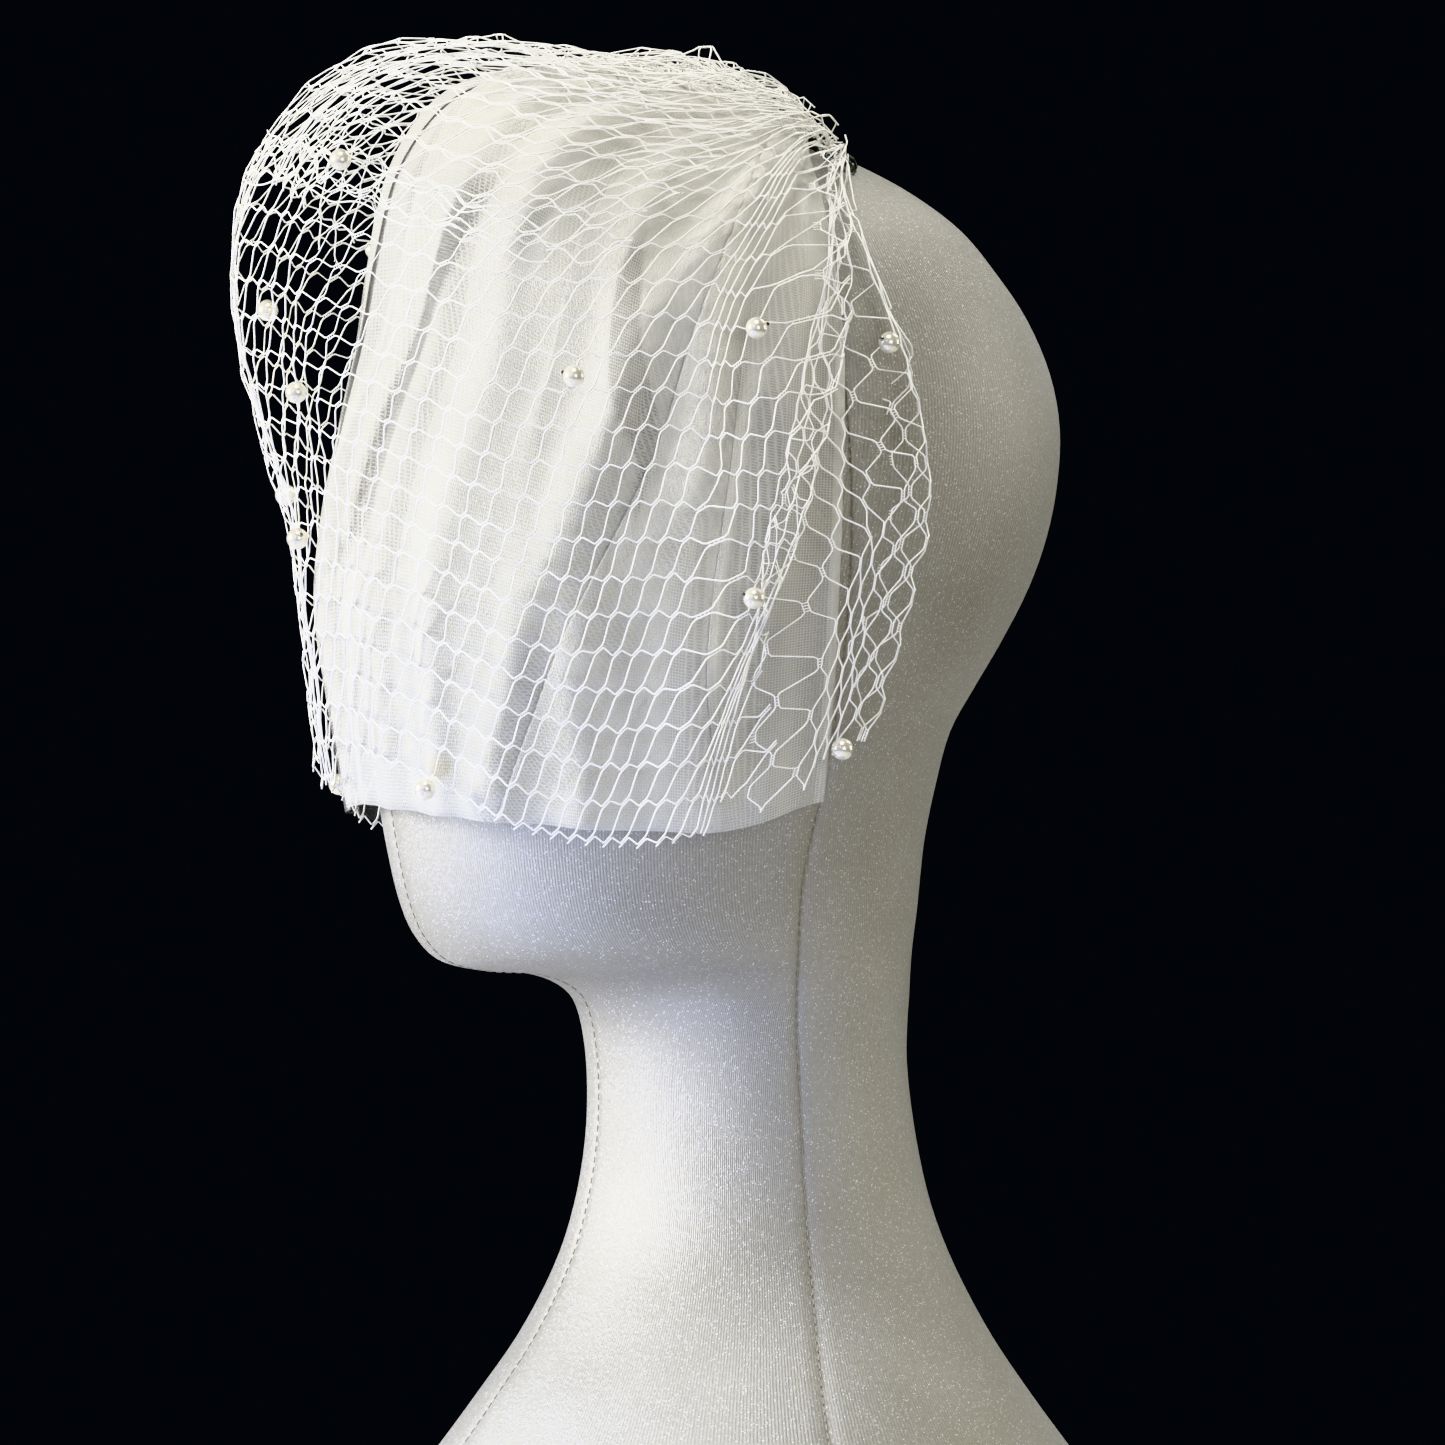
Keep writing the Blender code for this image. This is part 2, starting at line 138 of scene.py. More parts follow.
# Inner tulle, with the same columns as the net
TULLE_SECTIONS = (
    (0.00, 10.5, 424.4, 24.0, 10.5, 421.8),
    (0.06, -6.0, 430.5, 34.5, 3.0, 419.5),
    (0.12, -24.0, 434.5, 45.0, -1.0, 414.0),
    (0.18, -42.0, 436.0, 55.5, -2.5, 405.0),
    (0.25, -62.0, 436.5, 64.5, -3.0, 392.5),
    (0.33, -84.0, 431.0, 72.5, -3.5, 376.0),
    (0.42, -99.5, 411.0, 77.5, -4.0, 358.0),
    (0.50, -104.5, 387.0, 80.0, -5.0, 342.0),
    (0.57, -107.5, 366.0, 81.5, -6.0, 327.0),
    (0.65, -113.5, 344.0, 82.0, -6.5, 310.0),
    (0.73, -119.0, 321.0, 81.0, -7.0, 293.0),
    (0.81, -121.5, 298.0, 79.0, -7.0, 276.0),
    (0.89, -118.5, 274.5, 75.5, -7.0, 260.0),
    (1.00, -113.0, 242.0, 70.5, -7.5, 236.0),
)

# How far each hem dips below its section, round from the front
# angle, net_drop, tulle_drop
HEM_DROPS = (
    (0.0, 0.0, 6.5),
    (20.0, 5.0, 8.5),
    (35.0, 14.0, 9.5),
    (52.0, 22.0, 10.0),
    (65.0, 21.0, 10.0),
    (78.0, 15.0, 8.0),
    (90.0, 0.0, 0.0),
)

# Soft folds that run down from the comb
# angle_at_comb, angle_at_hem, height, half_angle
NET_FOLDS = (
    (88.0, 65.0, 4.0, 4.5),
    (70.0, 82.0, 2.5, 4.0),
    (47.0, 40.0, 3.0, 5.0),
    (20.0, 14.0, 3.0, 5.0),
    (-5.0, -4.0, 2.5, 5.0),
    (-28.0, -24.0, 3.0, 5.0),
    (-50.0, -44.0, 3.0, 5.0),
    (-85.0, -62.0, 4.0, 4.5),
    (-68.0, -80.0, 2.5, 4.0),
)
TULLE_FOLDS = (
    (84.0, 82.0, 2.5, 4.0),
    (66.0, 74.0, 3.5, 4.5),
    (82.0, 36.0, 4.0, 4.5),
    (56.0, 54.0, 3.0, 4.5),
    (40.0, 24.0, 3.0, 4.5),
    (25.0, 10.0, 3.0, 4.5),
    (8.0, 1.0, 2.5, 4.5),
    (-10.0, -9.0, 3.0, 4.5),
    (-26.0, -20.0, 3.0, 4.5),
    (-42.0, -34.0, 3.5, 4.5),
    (-58.0, -50.0, 3.0, 4.5),
    (-72.0, -64.0, 3.5, 4.5),
    (-84.0, -80.0, 2.5, 4.0),
)

# Pleats, where the cloth doubles back over itself as an S
# angle_at_comb, angle_halfway, angle_at_hem, overlap, half_angle, height, from_share, to_share
NET_PLEATS = (
    (86.0, 81.0, 70.0, 5.0, 8.5, 2.8, 0.05, 0.97),
    (64.0, 61.0, 58.0, 1.4, 7.0, 1.0, 0.00, 0.36),
    (40.0, 40.0, 42.0, 3.2, 7.0, 1.8, 0.00, 0.42),
    (14.0, 12.0, 10.0, 3.0, 7.0, 1.6, 0.00, 0.40),
    (-12.0, -12.0, -10.0, 3.0, 7.0, 1.6, 0.00, 0.42),
    (-38.0, -38.0, -40.0, 3.2, 7.0, 1.8, 0.00, 0.42),
    (-62.0, -60.0, -56.0, 3.2, 7.0, 1.8, 0.00, 0.45),
    (-86.0, -80.0, -69.0, 5.0, 8.5, 2.8, 0.05, 0.97),
)
TULLE_PLEATS = (
    (84.0, 77.0, 76.0, 4.2, 5.0, -0.7, 0.02, 1.10),
    (67.0, 69.0, 41.0, 6.5, 7.5, -1.3, 0.02, 1.30),
    (53.0, 44.0, 27.0, 3.0, 6.0, -0.5, 0.02, 0.72),
    (38.0, 25.0, 14.0, 3.4, 5.0, -0.5, 0.02, 0.95),
    (19.0, 6.0, -1.0, 4.0, 5.0, -0.6, 0.02, 0.98),
    (6.0, -9.0, -16.0, 4.0, 6.0, 0.6, 0.02, 0.82),
    (-12.0, -22.0, -27.0, 4.6, 6.5, 0.9, 0.02, 0.86),
    (-32.0, -41.0, -46.0, 4.0, 6.0, 0.7, 0.02, 0.95),
    (-66.0, -65.0, -68.0, 5.6, 7.0, 1.1, 0.02, 1.20),
    (-84.0, -78.0, -83.0, 4.0, 5.0, 0.8, 0.02, 1.00),
)

# Where the tulle parts beside its widest pleat and the head shows through
# share_of_drop, inner_angle, outer_angle
TULLE_PARTING = (
    (0.36, 55.0, 55.4),
    (0.42, 54.0, 57.5),
    (0.50, 53.3, 59.0),
    (0.56, 54.5, 62.5),
    (0.62, 60.0, 62.5),
    (0.70, 60.8, 61.0),
)

# Long bands where the tulle lies thinner or doubled
# from_share, to_share, angle_at_start, angle_at_end, bow, half_width, cover_factor
TULLE_BANDS = (
    (0.38, 0.82, 27.0, 5.0, -5.0, 3.2, 0.34),
    (0.34, 0.54, 43.0, 28.0, 0.0, 1.8, 0.66),
    (0.50, 0.92, 60.0, 38.0, 1.0, 6.0, 0.95),
    (0.40, 0.78, 12.0, -13.0, -3.0, 1.4, 1.35),
    (0.60, 1.05, 13.0, -3.0, -1.0, 1.6, 1.45),
    (0.42, 0.88, 79.0, 75.0, -2.5, 1.3, 1.70),
    (0.18, 0.74, 64.0, 59.0, 10.0, 3.0, 1.35),
    (0.45, 0.90, -20.0, -26.0, -2.0, 2.4, 0.45),
    (0.86, 1.20, -40.0, -40.0, 0.0, 30.0, 0.12),
    (0.35, 1.15, 90.0, 90.0, 0.0, 1.0, 1.90),
)

# How much of the light the tulle stops, round from the front
# angle, cover_at_comb, cover_at_hem
TULLE_COVER = (
    (0.0, 0.72, 0.46),
    (30.0, 0.80, 0.54),
    (48.0, 0.86, 0.52),
    (56.0, 0.92, 0.66),
    (64.0, 0.92, 0.70),
    (74.0, 0.84, 0.54),
    (90.0, 0.60, 0.32),
)

# How far the netting's weave leans from level towards upright, round from the front, and
# the angle at which its rows of knots are pulled askew
# angle, lean, crossing
WEAVE_TURNS = (
    (0.0, 36.0, 66.0),
    (20.0, 37.0, 64.0),
    (54.0, 38.0, 58.0),
    (82.0, 39.0, 56.0),
)
EDGE_TURNS = (
    (60.0, 84.0, 86.0),
    (88.0, 90.0, 90.0),
    (120.0, 90.0, 90.0),
)

# Threads drawn together where the puff is tucked in
# share_of_drop, from_angle, to_angle, rise_between
TUCK_THREADS = (
    (0.464, -8.0, 50.0, 0.010),
    (0.474, -12.0, 47.0, 0.004),
    (0.482, -10.0, 40.0, -0.006),
    (0.490, -12.0, 52.0, 0.003),
    (0.500, -6.0, 40.0, 0.008),
)

# Width of the rungs across a knot, as a share of the thread's
RUNG_SHARE = 0.55

# How far a cut thread stands out past its last knot
TAIL_LENGTH = 0.9

GATHERS = 12
NET_GATHER_HEIGHT = 1.5
TULLE_GATHER_HEIGHT = 1.3
SECTION_CORNER = 0.87
NET_SHOULDER = 0.95
TULLE_SHOULDER = 1.4

# The net's short edges turn under
LIP_RADIUS = 4.3
LIP_START = 1.5
LIP_RETURN = 13.0
LIP_ANGLE = 24.0
LIP_TURN_SHARE = 0.5
NET_EDGE_ANGLE = 90.0 + LIP_ANGLE

# Pearls on knots of the net
# angle, share
PEARL_PLACES = (
    (20.0, 0.480),
    (12.0, 0.665),
    (-1.0, 0.795),
    (26.0, 0.985),
    (56.0, 0.578),
    (74.5, 0.460),
    (88.5, 0.375),
    (74.0, 0.755),
    (87.0, 0.965),
    (-38.0, 0.560),
    (-34.0, 0.720),
    (-54.0, 0.460),
    (-77.0, 0.410),
    (-88.0, 0.620),
    (-68.0, 0.860),
    (-42.0, 0.950),
)

# The comb lies across the crown just behind the highest point
COMB_LENGTH = 76.0
COMB_Y = 11.0
COMB_TEETH = 19
COMB_TURNS = 84
COMB_WIRE_WIDTH = 0.0007

# Soft square lights, in metres and watts
# name, azimuth, height, distance, size, power, colour
STAGE_LIGHTS = (
    ("key", -14.0, 0.6, 1.5, 0.6, 53.0, (0.98, 0.985, 1.0)),
    ("side", 86.0, 0.5, 1.6, 0.6, 7.5, (1.0, 1.0, 0.98)),
    ("middle", 42.0, 0.85, 1.5, 0.5, 1.0, (1.0, 0.99, 0.97)),
    ("low", 30.0, 0.02, 0.36, 0.1, 1.1, (0.34, 0.46, 1.0)),
    ("top", 60.0, 1.5, 0.55, 0.5, 16.0, (1.0, 1.0, 0.98)),
    ("back", 168.0, 0.5, 1.5, 0.6, 7.0, (1.0, 0.98, 0.86)),
    ("rim", 196.0, 1.35, 1.1, 0.6, 8.0, (1.0, 0.99, 0.93)),
)

# Camera: level with the middle of the frame, looking at the near side of the face
CAMERA_AZIMUTH = 68.0
CAMERA_DISTANCE = 6000.0
FRAME_WIDTH = 401.4
FRAME_MIDDLE_ACROSS = -8.2
FRAME_MIDDLE_HEIGHT = 257.6
SENSOR_WIDTH = 36.0


def hex_colour(text):
    """An sRGB hex colour as linear red, green and blue."""
    channels = [int(text[place:place + 2], 16) / 255 for place in (1, 3, 5)]
    return tuple(c / 12.92 if c <= 0.04045 else ((c + 0.055) / 1.055) ** 2.4 for c in channels)


class VeilSizes(bpy.types.PropertyGroup):
    """Sizes of the veil's threads, cells and pearls."""

    thread_width: FloatProperty(
        name="Thread width", description="Width of one netting thread",
        default=0.0005, unit="LENGTH",
    )
    cell_length: FloatProperty(
        name="Cell length", description="Length of a cell of the netting along its knots",
        default=0.0154, unit="LENGTH",
    )
    cell_height: FloatProperty(
        name="Cell height", description="Height of a cell of the netting across its knots",
        default=0.0104, unit="LENGTH",
    )
    knot_length: FloatProperty(
        name="Knot length", description="Length of the stretch where two threads run side by side",
        default=0.0028, unit="LENGTH",
    )
    knot_gap: FloatProperty(
        name="Knot gap", description="Distance between the two threads of a knot",
        default=0.0008, unit="LENGTH",
    )
    tulle_cell: FloatProperty(
        name="Tulle cell", description="Width of one cell of the tulle, drawn coarse enough to show",
        default=0.0010, unit="LENGTH",
    )
    pearl_width: FloatProperty(
        name="Pearl width", description="Diameter of a pearl", default=0.006, unit="LENGTH",
    )
    velvet_rib: FloatProperty(
        name="Velvet rib", description="Width of one rib of the velvet, drawn coarse enough to show",
        default=0.0009, unit="LENGTH",
    )


class VeilColours(bpy.types.PropertyGroup):
    """Colours of the veil and of what it rests on."""

    velvet: FloatVectorProperty(
        name="Velvet", description="Velvet in the light", subtype="COLOR",
        default=hex_colour("#A6A49D"),
    )
    # Darker velvet colour: painted shade between the ribs and in the pile, and the real darker tone of
    # random patches
    velvet_shade: FloatVectorProperty(
        name="Velvet shade", description="Velvet between its ribs and patches", subtype="COLOR",
        default=hex_colour("#837F72"),
    )
    thread: FloatVectorProperty(
        name="Netting", description="Netting thread", subtype="COLOR",
        default=hex_colour("#F6F4EE"),
    )
    tulle: FloatVectorProperty(
        name="Tulle", description="Soft tulle", subtype="COLOR", default=hex_colour("#DFDCD1"),
    )
    pearl: FloatVectorProperty(
        name="Pearl", description="Ivory pearl", subtype="COLOR", default=hex_colour("#EAE5D6"),
    )
    wire: FloatVectorProperty(
        name="Comb wire", description="Wire of the comb", subtype="COLOR",
        default=hex_colour("#5A5F5A"),
    )
    crimp: FloatVectorProperty(
        name="Crimp", description="Silver crimp beside a pearl", subtype="COLOR",
        default=hex_colour("#A9ABA8"),
    )
    stitch: FloatVectorProperty(
        name="Stitches", description="Sewing thread in the head's seams", subtype="COLOR",
        default=hex_colour("#9A917F"),
    )
    floor: FloatVectorProperty(
        name="Floor", description="Pale floor", subtype="COLOR", default=hex_colour("#DEDCD7"),
    )
    backdrop: FloatVectorProperty(
        name="Backdrop", description="Dark plain background", subtype="COLOR",
        default=hex_colour("#1A1B1D"),
    )


def ramp(value, start, end):
    """A smooth step from 0 at start to 1 at end."""
    part = np.clip((value - start) / (end - start), 0.0, 1.0)
    return part * part * (3.0 - 2.0 * part)


def read_columns(table, share):
    """The table's other columns at each share, on a smooth curve through its rows."""
    rows = np.array(table)
    knots = rows[:, 0]
    values = rows[:, 1:]
    slopes = np.gradient(values, knots, axis=0)
    share = np.clip(share, knots[0], knots[-1])
    low = np.clip(np.searchsorted(knots, share) - 1, 0, len(knots) - 2)
    step = (knots[low + 1] - knots[low])[:, None]
    part = (share - knots[low])[:, None] / step
    start = (1 + 2 * part) * (1 - part) ** 2 * values[low]
    start_slope = part * (1 - part) ** 2 * step * slopes[low]
    end = part**2 * (3 - 2 * part) * values[low + 1]
    end_slope = part**2 * (part - 1) * step * slopes[low + 1]
    return start + start_slope + end + end_slope


def section_points(sections, shoulder, drop_column, angle, share):
    """Points of a layer before its folds; past 90 degrees the edge turns under."""
    front_y, front_z, side_x, side_y, side_z = read_columns(sections, share).T
    turn = np.radians(np.clip(angle, -90.0, 90.0))
    across = np.sign(turn) * np.abs(np.sin(turn)) ** SECTION_CORNER
    ahead = np.clip(np.cos(turn), 0.0, 1.0)
    x = side_x * across
    y = side_y - (side_y - front_y) * ahead**SECTION_CORNER
    arch = 2.0 - (2.0 - shoulder) * ramp(share, 0.0, 0.1)
    z = side_z + (front_z - side_z) * ahead**arch
    drops = read_columns(HEM_DROPS, np.minimum(np.abs(angle), 90.0))[:, drop_column]
    z = z - drops * ramp(share, 0.45, 1.0)
    under = (np.abs(angle) - 90.0) / LIP_ANGLE
    whole_turn = np.pi * ramp(share, 0.3, 0.5)
    curl = whole_turn * np.clip(under / LIP_TURN_SHARE, 0.0, 1.0)
    back = np.clip((under - LIP_TURN_SHARE) / (1.0 - LIP_TURN_SHARE), 0.0, 1.1)
    length = LIP_START + (LIP_RETURN - LIP_START) * ramp(share, 0.3, 0.5)
    length = length * (1.0 - 0.5 * ramp(share, 0.75, 1.0))
    early = LIP_START * np.clip(under, 0.0, LIP_TURN_SHARE) * (1.0 - ramp(share, 0.3, 0.5))
    inward = LIP_RADIUS * (1.0 - np.cos(curl)) + length * back * np.sin(whole_turn)
    x = x - np.sign(turn) * inward
    y = y + early + LIP_RADIUS * np.sin(curl) + length * back * np.cos(whole_turn)
    return np.stack([x, y, z], axis=1)


def surface_normals(point_function, angle, share):
    """Outward directions of a layer, from small steps both ways."""
    across = point_function(angle + 0.5, share) - point_function(angle - 0.5, share)
    up = point_function(angle, np.clip(share - 0.005, 0.0, 1.0))
    down = point_function(angle, np.clip(share + 0.005, 0.0, 1.0))
    normal = np.cross(down - up, across)
    return normal / np.maximum(np.linalg.norm(normal, axis=1), 1e-9)[:, None]


def fold_heights(folds, gather_height, angle, share):
    """How far folds and gathers stand out from a layer's plain form."""
    height = np.zeros_like(angle)
    for top_angle, hem_angle, fold_height, half_angle in folds:
        middle = top_angle + (hem_angle - top_angle) * share
        bump = np.exp(-(((angle - middle) / half_angle) ** 2))
        height = height + fold_height * bump * ramp(share, 0.02, 0.3)
    wave = 0.5 - 0.5 * np.cos(np.radians(angle + 90.0) * 2.0 * GATHERS)
    envelope = ramp(share, -0.03, 0.12) * (1.0 - ramp(share, 0.15, 0.5))
    height = height + gather_height * wave * envelope
    return height * (1.0 - ramp(np.abs(angle), 84.0, 90.0))


def pleat_shifts(pleats, angle, share):
    """Where pleats carry the cloth along its section, and how far they lift it."""
    shift = np.zeros_like(angle)
    lift = np.zeros_like(angle)
    for top_angle, half_way, hem_angle, overlap, half_angle, height, start, end in pleats:
        bow = half_way - (top_angle + hem_angle) / 2
        middle = top_angle + (hem_angle - top_angle) * share + bow * 4.0 * share * (1.0 - share)
        place = np.clip((angle - middle) / half_angle, -1.0, 1.0)
        strength = ramp(share, start - 0.06, start + 0.12) * (1.0 - ramp(share, end - 0.3, end))
        swing = strength * np.sin(np.pi * place)
        shift = shift - overlap * swing
        lift = lift - height * swing
    return shift, lift


def soft_noise(angle, share, seed):
    """An even, repeatable unevenness of about plus or minus 1."""
    random = np.random.default_rng(seed)
    total = np.zeros_like(angle)
    for _ in range(9):
        across, down = random.uniform(0.03, 0.16), random.uniform(4.0, 22.0)
        phase, lean = random.uniform(0, 2 * np.pi, 2)
        total = total + np.sin(angle * across * 2.2 + share * down * np.cos(lean) + phase)
    return total / 3.0


def net_plain(angle, share):
    """The net before its folds."""
    return section_points(NET_SECTIONS, NET_SHOULDER, 0, angle, share)


def net_points(angle, share, lift=0.0):
    """The net's outer face with its folds and pleats."""
    shift, pleat_lift = pleat_shifts(NET_PLEATS, angle, share)
    seat = angle + shift
    height = fold_heights(NET_FOLDS, NET_GATHER_HEIGHT, seat, share) + pleat_lift + lift
    height = height - 0.9
    return net_plain(seat, share) + surface_normals(net_plain, seat, share) * height[:, None]


def tulle_plain(angle, share):
    """The tulle before its folds."""
    return section_points(TULLE_SECTIONS, TULLE_SHOULDER, 1, angle, share)


def tulle_points(angle, share):
    """The tulle's face with its folds and pleats."""
    shift, pleat_lift = pleat_shifts(TULLE_PLEATS, angle, share)
    seat = np.clip(angle + shift, -90.0, 90.0)
    height = fold_heights(TULLE_FOLDS, TULLE_GATHER_HEIGHT, seat, share) + pleat_lift
    height = height + 0.35 * soft_noise(angle, share, 5) * ramp(share, 0.05, 0.3)
    return tulle_plain(seat, share) + surface_normals(tulle_plain, seat, share) * height[:, None]


def ruffle_points(angle, share, lift=0.0):
    """The turned-over stretch of net under the puff."""
    depth = 1.6 + 4.6 * ramp(share, 0.12, 0.5) - lift
    plain = net_plain(angle, share)
    return plain - surface_normals(net_plain, angle, share) * depth[:, None]


def linked_object(name, content):
    """A mesh, light or camera as a named object in the scene."""
    thing = bpy.data.objects.new(name, content)
    bpy.context.collection.objects.link(thing)
    return thing


def new_piece(name, mesh):
    """A mesh as a named piece of the veil or its head."""
    piece = linked_object(name, mesh)
    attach(piece, "root")
    return piece


def finished_mesh(name, builder, unit=1.0, smooth=True):
    """A bmesh, drawn in a unit given in metres, as a mesh in metres."""
    bmesh.ops.scale(builder, vec=(unit,) * 3, verts=builder.verts)
    mesh = bpy.data.meshes.new(name)
    builder.to_mesh(mesh)
    builder.free()
    if smooth:
        mesh.shade_smooth()
    return mesh


def thread_mesh(name, lines, width, sides_level=0):
    """Round threads along lines of points in millimetres, as one mesh in metres."""
    curve = bpy.data.curves.new(name + "_lines", "CURVE")
    curve.dimensions = "3D"
    curve.bevel_depth = width / 2
    curve.bevel_resolution = sides_level
    curve.use_fill_caps = True
    for line in lines:
        spline = curve.splines.new("POLY")
        spline.points.add(len(line) - 1)
        points = np.ones((len(line), 4))
        points[:, :3] = np.asarray(line) * MILLIMETRE
        spline.points.foreach_set("co", points.ravel())
    holder = linked_object(name + "_lines", curve)
    deps = bpy.context.evaluated_depsgraph_get()
    mesh = bpy.data.meshes.new_from_object(holder.evaluated_get(deps))
    mesh.name = name
    bpy.data.objects.remove(holder, do_unlink=True)
    bpy.data.curves.remove(curve)
    mesh.shade_smooth()
    return new_piece(name, mesh)


def new_material(name):
    """An empty node material with its output."""
    material = bpy.data.materials.new(name)
    material.use_nodes = True
    material.node_tree.nodes.clear()
    return material


def add_node(material, kind, settings):
    """One node, with its sockets set or linked by name or number, and its properties by name."""
    node = material.node_tree.nodes.new(kind)
    for name, value in settings.items():
        if isinstance(name, str) and name not in node.inputs:
            setattr(node, name, value)
        elif isinstance(value, bpy.types.NodeSocket):
            material.node_tree.links.new(value, node.inputs[name])
        else:
            node.inputs[name].default_value = value
    return node


def add_surface(material, settings):
    """The Principled shader and the output of a material."""
    shader = add_node(material, "ShaderNodeBsdfPrincipled", settings)
    add_node(material, "ShaderNodeOutputMaterial", {"Surface": shader.outputs["BSDF"]})
    return shader


def opaque(colour):
    """A colour property with full alpha."""
    return (*colour, 1.0)


def blend(material, share, first, second):
    """A colour that goes from the first to the second as the share goes from 0 to 1."""
    return add_node(material, "ShaderNodeMix", {
        "data_type": "RGBA", 0: share, 6: first, 7: second,
    }).outputs[2]


def stretch_velvet(sizes, colours):
    """Knitted stretch velvet with a short pile: a soft rim of sheen, fine ribs with painted shade
    between them, random darker patches, and painted glints as bright specks.
    """
    material = new_material("stretch_velvet")
    place = add_node(material, "ShaderNodeTexCoord", {}).outputs
    ribs = add_node(material, "ShaderNodeTexWave", {
        "Vector": place["UV"], "wave_type": "BANDS", "bands_direction": "X",
        "Scale": math.pi / 10 / sizes.velvet_rib, "Distortion": 2.6, "Detail": 2.0,
        "Detail Scale": 6.0,
    })
    pile = add_node(material, "ShaderNodeTexNoise", {
        "Vector": place["Object"], "Scale": 900.0, "Detail": 3.0, "Roughness": 0.6,
    })
    patches = add_node(material, "ShaderNodeTexNoise", {
        "Vector": place["Object"], "Scale": 14.0, "Detail": 2.0, "Roughness": 0.5,
    })
    faint = add_node(material, "ShaderNodeMapRange", {
        "Value": ribs.outputs["Fac"], "To Min": 0.3, "To Max": 0.65,
    })
    grain = add_node(material, "ShaderNodeMath", {
        "operation": "MULTIPLY", 0: faint.outputs["Result"], 1: pile.outputs["Fac"],
    })
    cloudy = add_node(material, "ShaderNodeMapRange", {
        "Value": patches.outputs["Fac"], "From Min": 0.3, "From Max": 0.7, "To Min": -0.1,
        "To Max": 0.45,
    })
    tone = add_node(material, "ShaderNodeMath", {
        "operation": "MULTIPLY_ADD", "use_clamp": True, 0: grain.outputs[0], 1: 1.9,
        2: cloudy.outputs["Result"],
    })
    # Painted shade: the darker colour goes where the ribs and pile dip, and into random patches of
    # darker tone
    base = blend(material, tone.outputs[0], opaque(colours.velvet_shade), opaque(colours.velvet))
    # Painted glints: a few tiny random cells get a bright bluish colour that stands in for glitter
    # catching the light
    specks = add_node(material, "ShaderNodeTexVoronoi", {
        "Vector": place["Object"], "Scale": 3800.0, "feature": "F1",
    })
    chooser = add_node(material, "ShaderNodeSeparateColor", {"Color": specks.outputs["Color"]})
    painted_glint_mask = add_node(material, "ShaderNodeMath", {
        "operation": "GREATER_THAN", 0: chooser.outputs[0], 1: 0.975,
    })
    bump = add_node(material, "ShaderNodeBump", {
        "Strength": 0.8, "Distance": 0.0005, "Height": grain.outputs[0],
    })
    add_surface(material, {
        "Base Color": blend(material, painted_glint_mask.outputs[0], base, (0.72, 0.72, 0.78, 1.0)),
        "Roughness": 0.52, "Metallic": 0.3,
        "Sheen Weight": 0.15, "Sheen Roughness": 0.35, "Sheen Tint": (0.9, 0.92, 1.0, 1.0),
        "Normal": bump.outputs["Normal"],
    })
    return material


def clouded_colour(material, colour, darkest, scale, detail):
    """A colour with soft darker clouds, and the noise that makes them."""
    place = add_node(material, "ShaderNodeTexCoord", {}).outputs["Object"]
    noise = add_node(material, "ShaderNodeTexNoise", {
        "Vector": place, "Scale": scale, "Detail": detail,
    }).outputs["Fac"]
    darker = opaque([channel * darkest for channel in colour])
    return blend(material, noise, darker, opaque(colour)), noise


def nylon_thread(colours):
    """Stiff off-white netting thread: nearly matt, with a faint nylon gleam."""
    material = new_material("nylon_netting_thread")
    add_surface(material, {
        "Base Color": clouded_colour(material, colours.thread, 0.88, 60.0, 2.0)[0],
        "Roughness": 0.5, "Sheen Weight": 0.2, "Specular IOR Level": 0.4,
    })
    return material


def sheer_tulle(sizes, colours):
    """Soft sheer tulle: a fine mesh whose cover grows where the cloth is gathered."""
    material = new_material("sheer_soft_tulle")
    place = add_node(material, "ShaderNodeTexCoord", {}).outputs
    cells = add_node(material, "ShaderNodeTexVoronoi", {
        "Vector": place["UV"], "feature": "DISTANCE_TO_EDGE", "voronoi_dimensions": "2D",
        "Scale": 1.0 / sizes.tulle_cell, "Randomness": 0.18,
    })
    cover = add_node(material, "ShaderNodeAttribute", {"attribute_name": "cover"}).outputs["Fac"]
    strands, gaps = (
        add_node(material, "ShaderNodeMapRange", {
            "Value": cover, "From Min": 0.2, "From Max": 0.7, "To Min": sheer, "To Max": full,
        }).outputs["Result"]
        for sheer, full in ((1.45, 1.04), (0.6, 0.96))
    )
    holes = add_node(material, "ShaderNodeMapRange", {
        "Value": cells.outputs["Distance"], "From Min": 0.10, "From Max": 0.26,
        "To Min": strands, "To Max": gaps,
    })
    alpha = add_node(material, "ShaderNodeMath", {
        "operation": "MULTIPLY", 0: holes.outputs["Result"], 1: cover,
    })
    fibres = add_node(material, "ShaderNodeTexNoise", {
        "Vector": place["Object"], "Scale": 2600.0, "Detail": 1.0,
    })
    bump = add_node(material, "ShaderNodeBump", {
        "Strength": 1.0, "Distance": 0.0006, "Height": fibres.outputs["Fac"],
    })
    add_surface(material, {
        "Base Color": opaque(colours.tulle), "Roughness": 0.8, "Sheen Weight": 0.8,
        "Sheen Roughness": 0.5, "Specular IOR Level": 0.2, "Alpha": alpha.outputs[0],
        "Normal": bump.outputs["Normal"],
    })
    return material


def ivory_pearl(colours):
    """Glass pearl dipped in pearl lacquer: ivory body under a clear hard gleam."""
    material = new_material("ivory_pearl_lacquer")
    add_surface(material, {
        "Base Color": clouded_colour(material, colours.pearl, 0.86, 260.0, 2.0)[0],
        "Roughness": 0.24, "Metallic": 0.45,
        "Coat Weight": 0.9, "Coat Roughness": 0.06, "Sheen Weight": 0.3,
    })
    return material


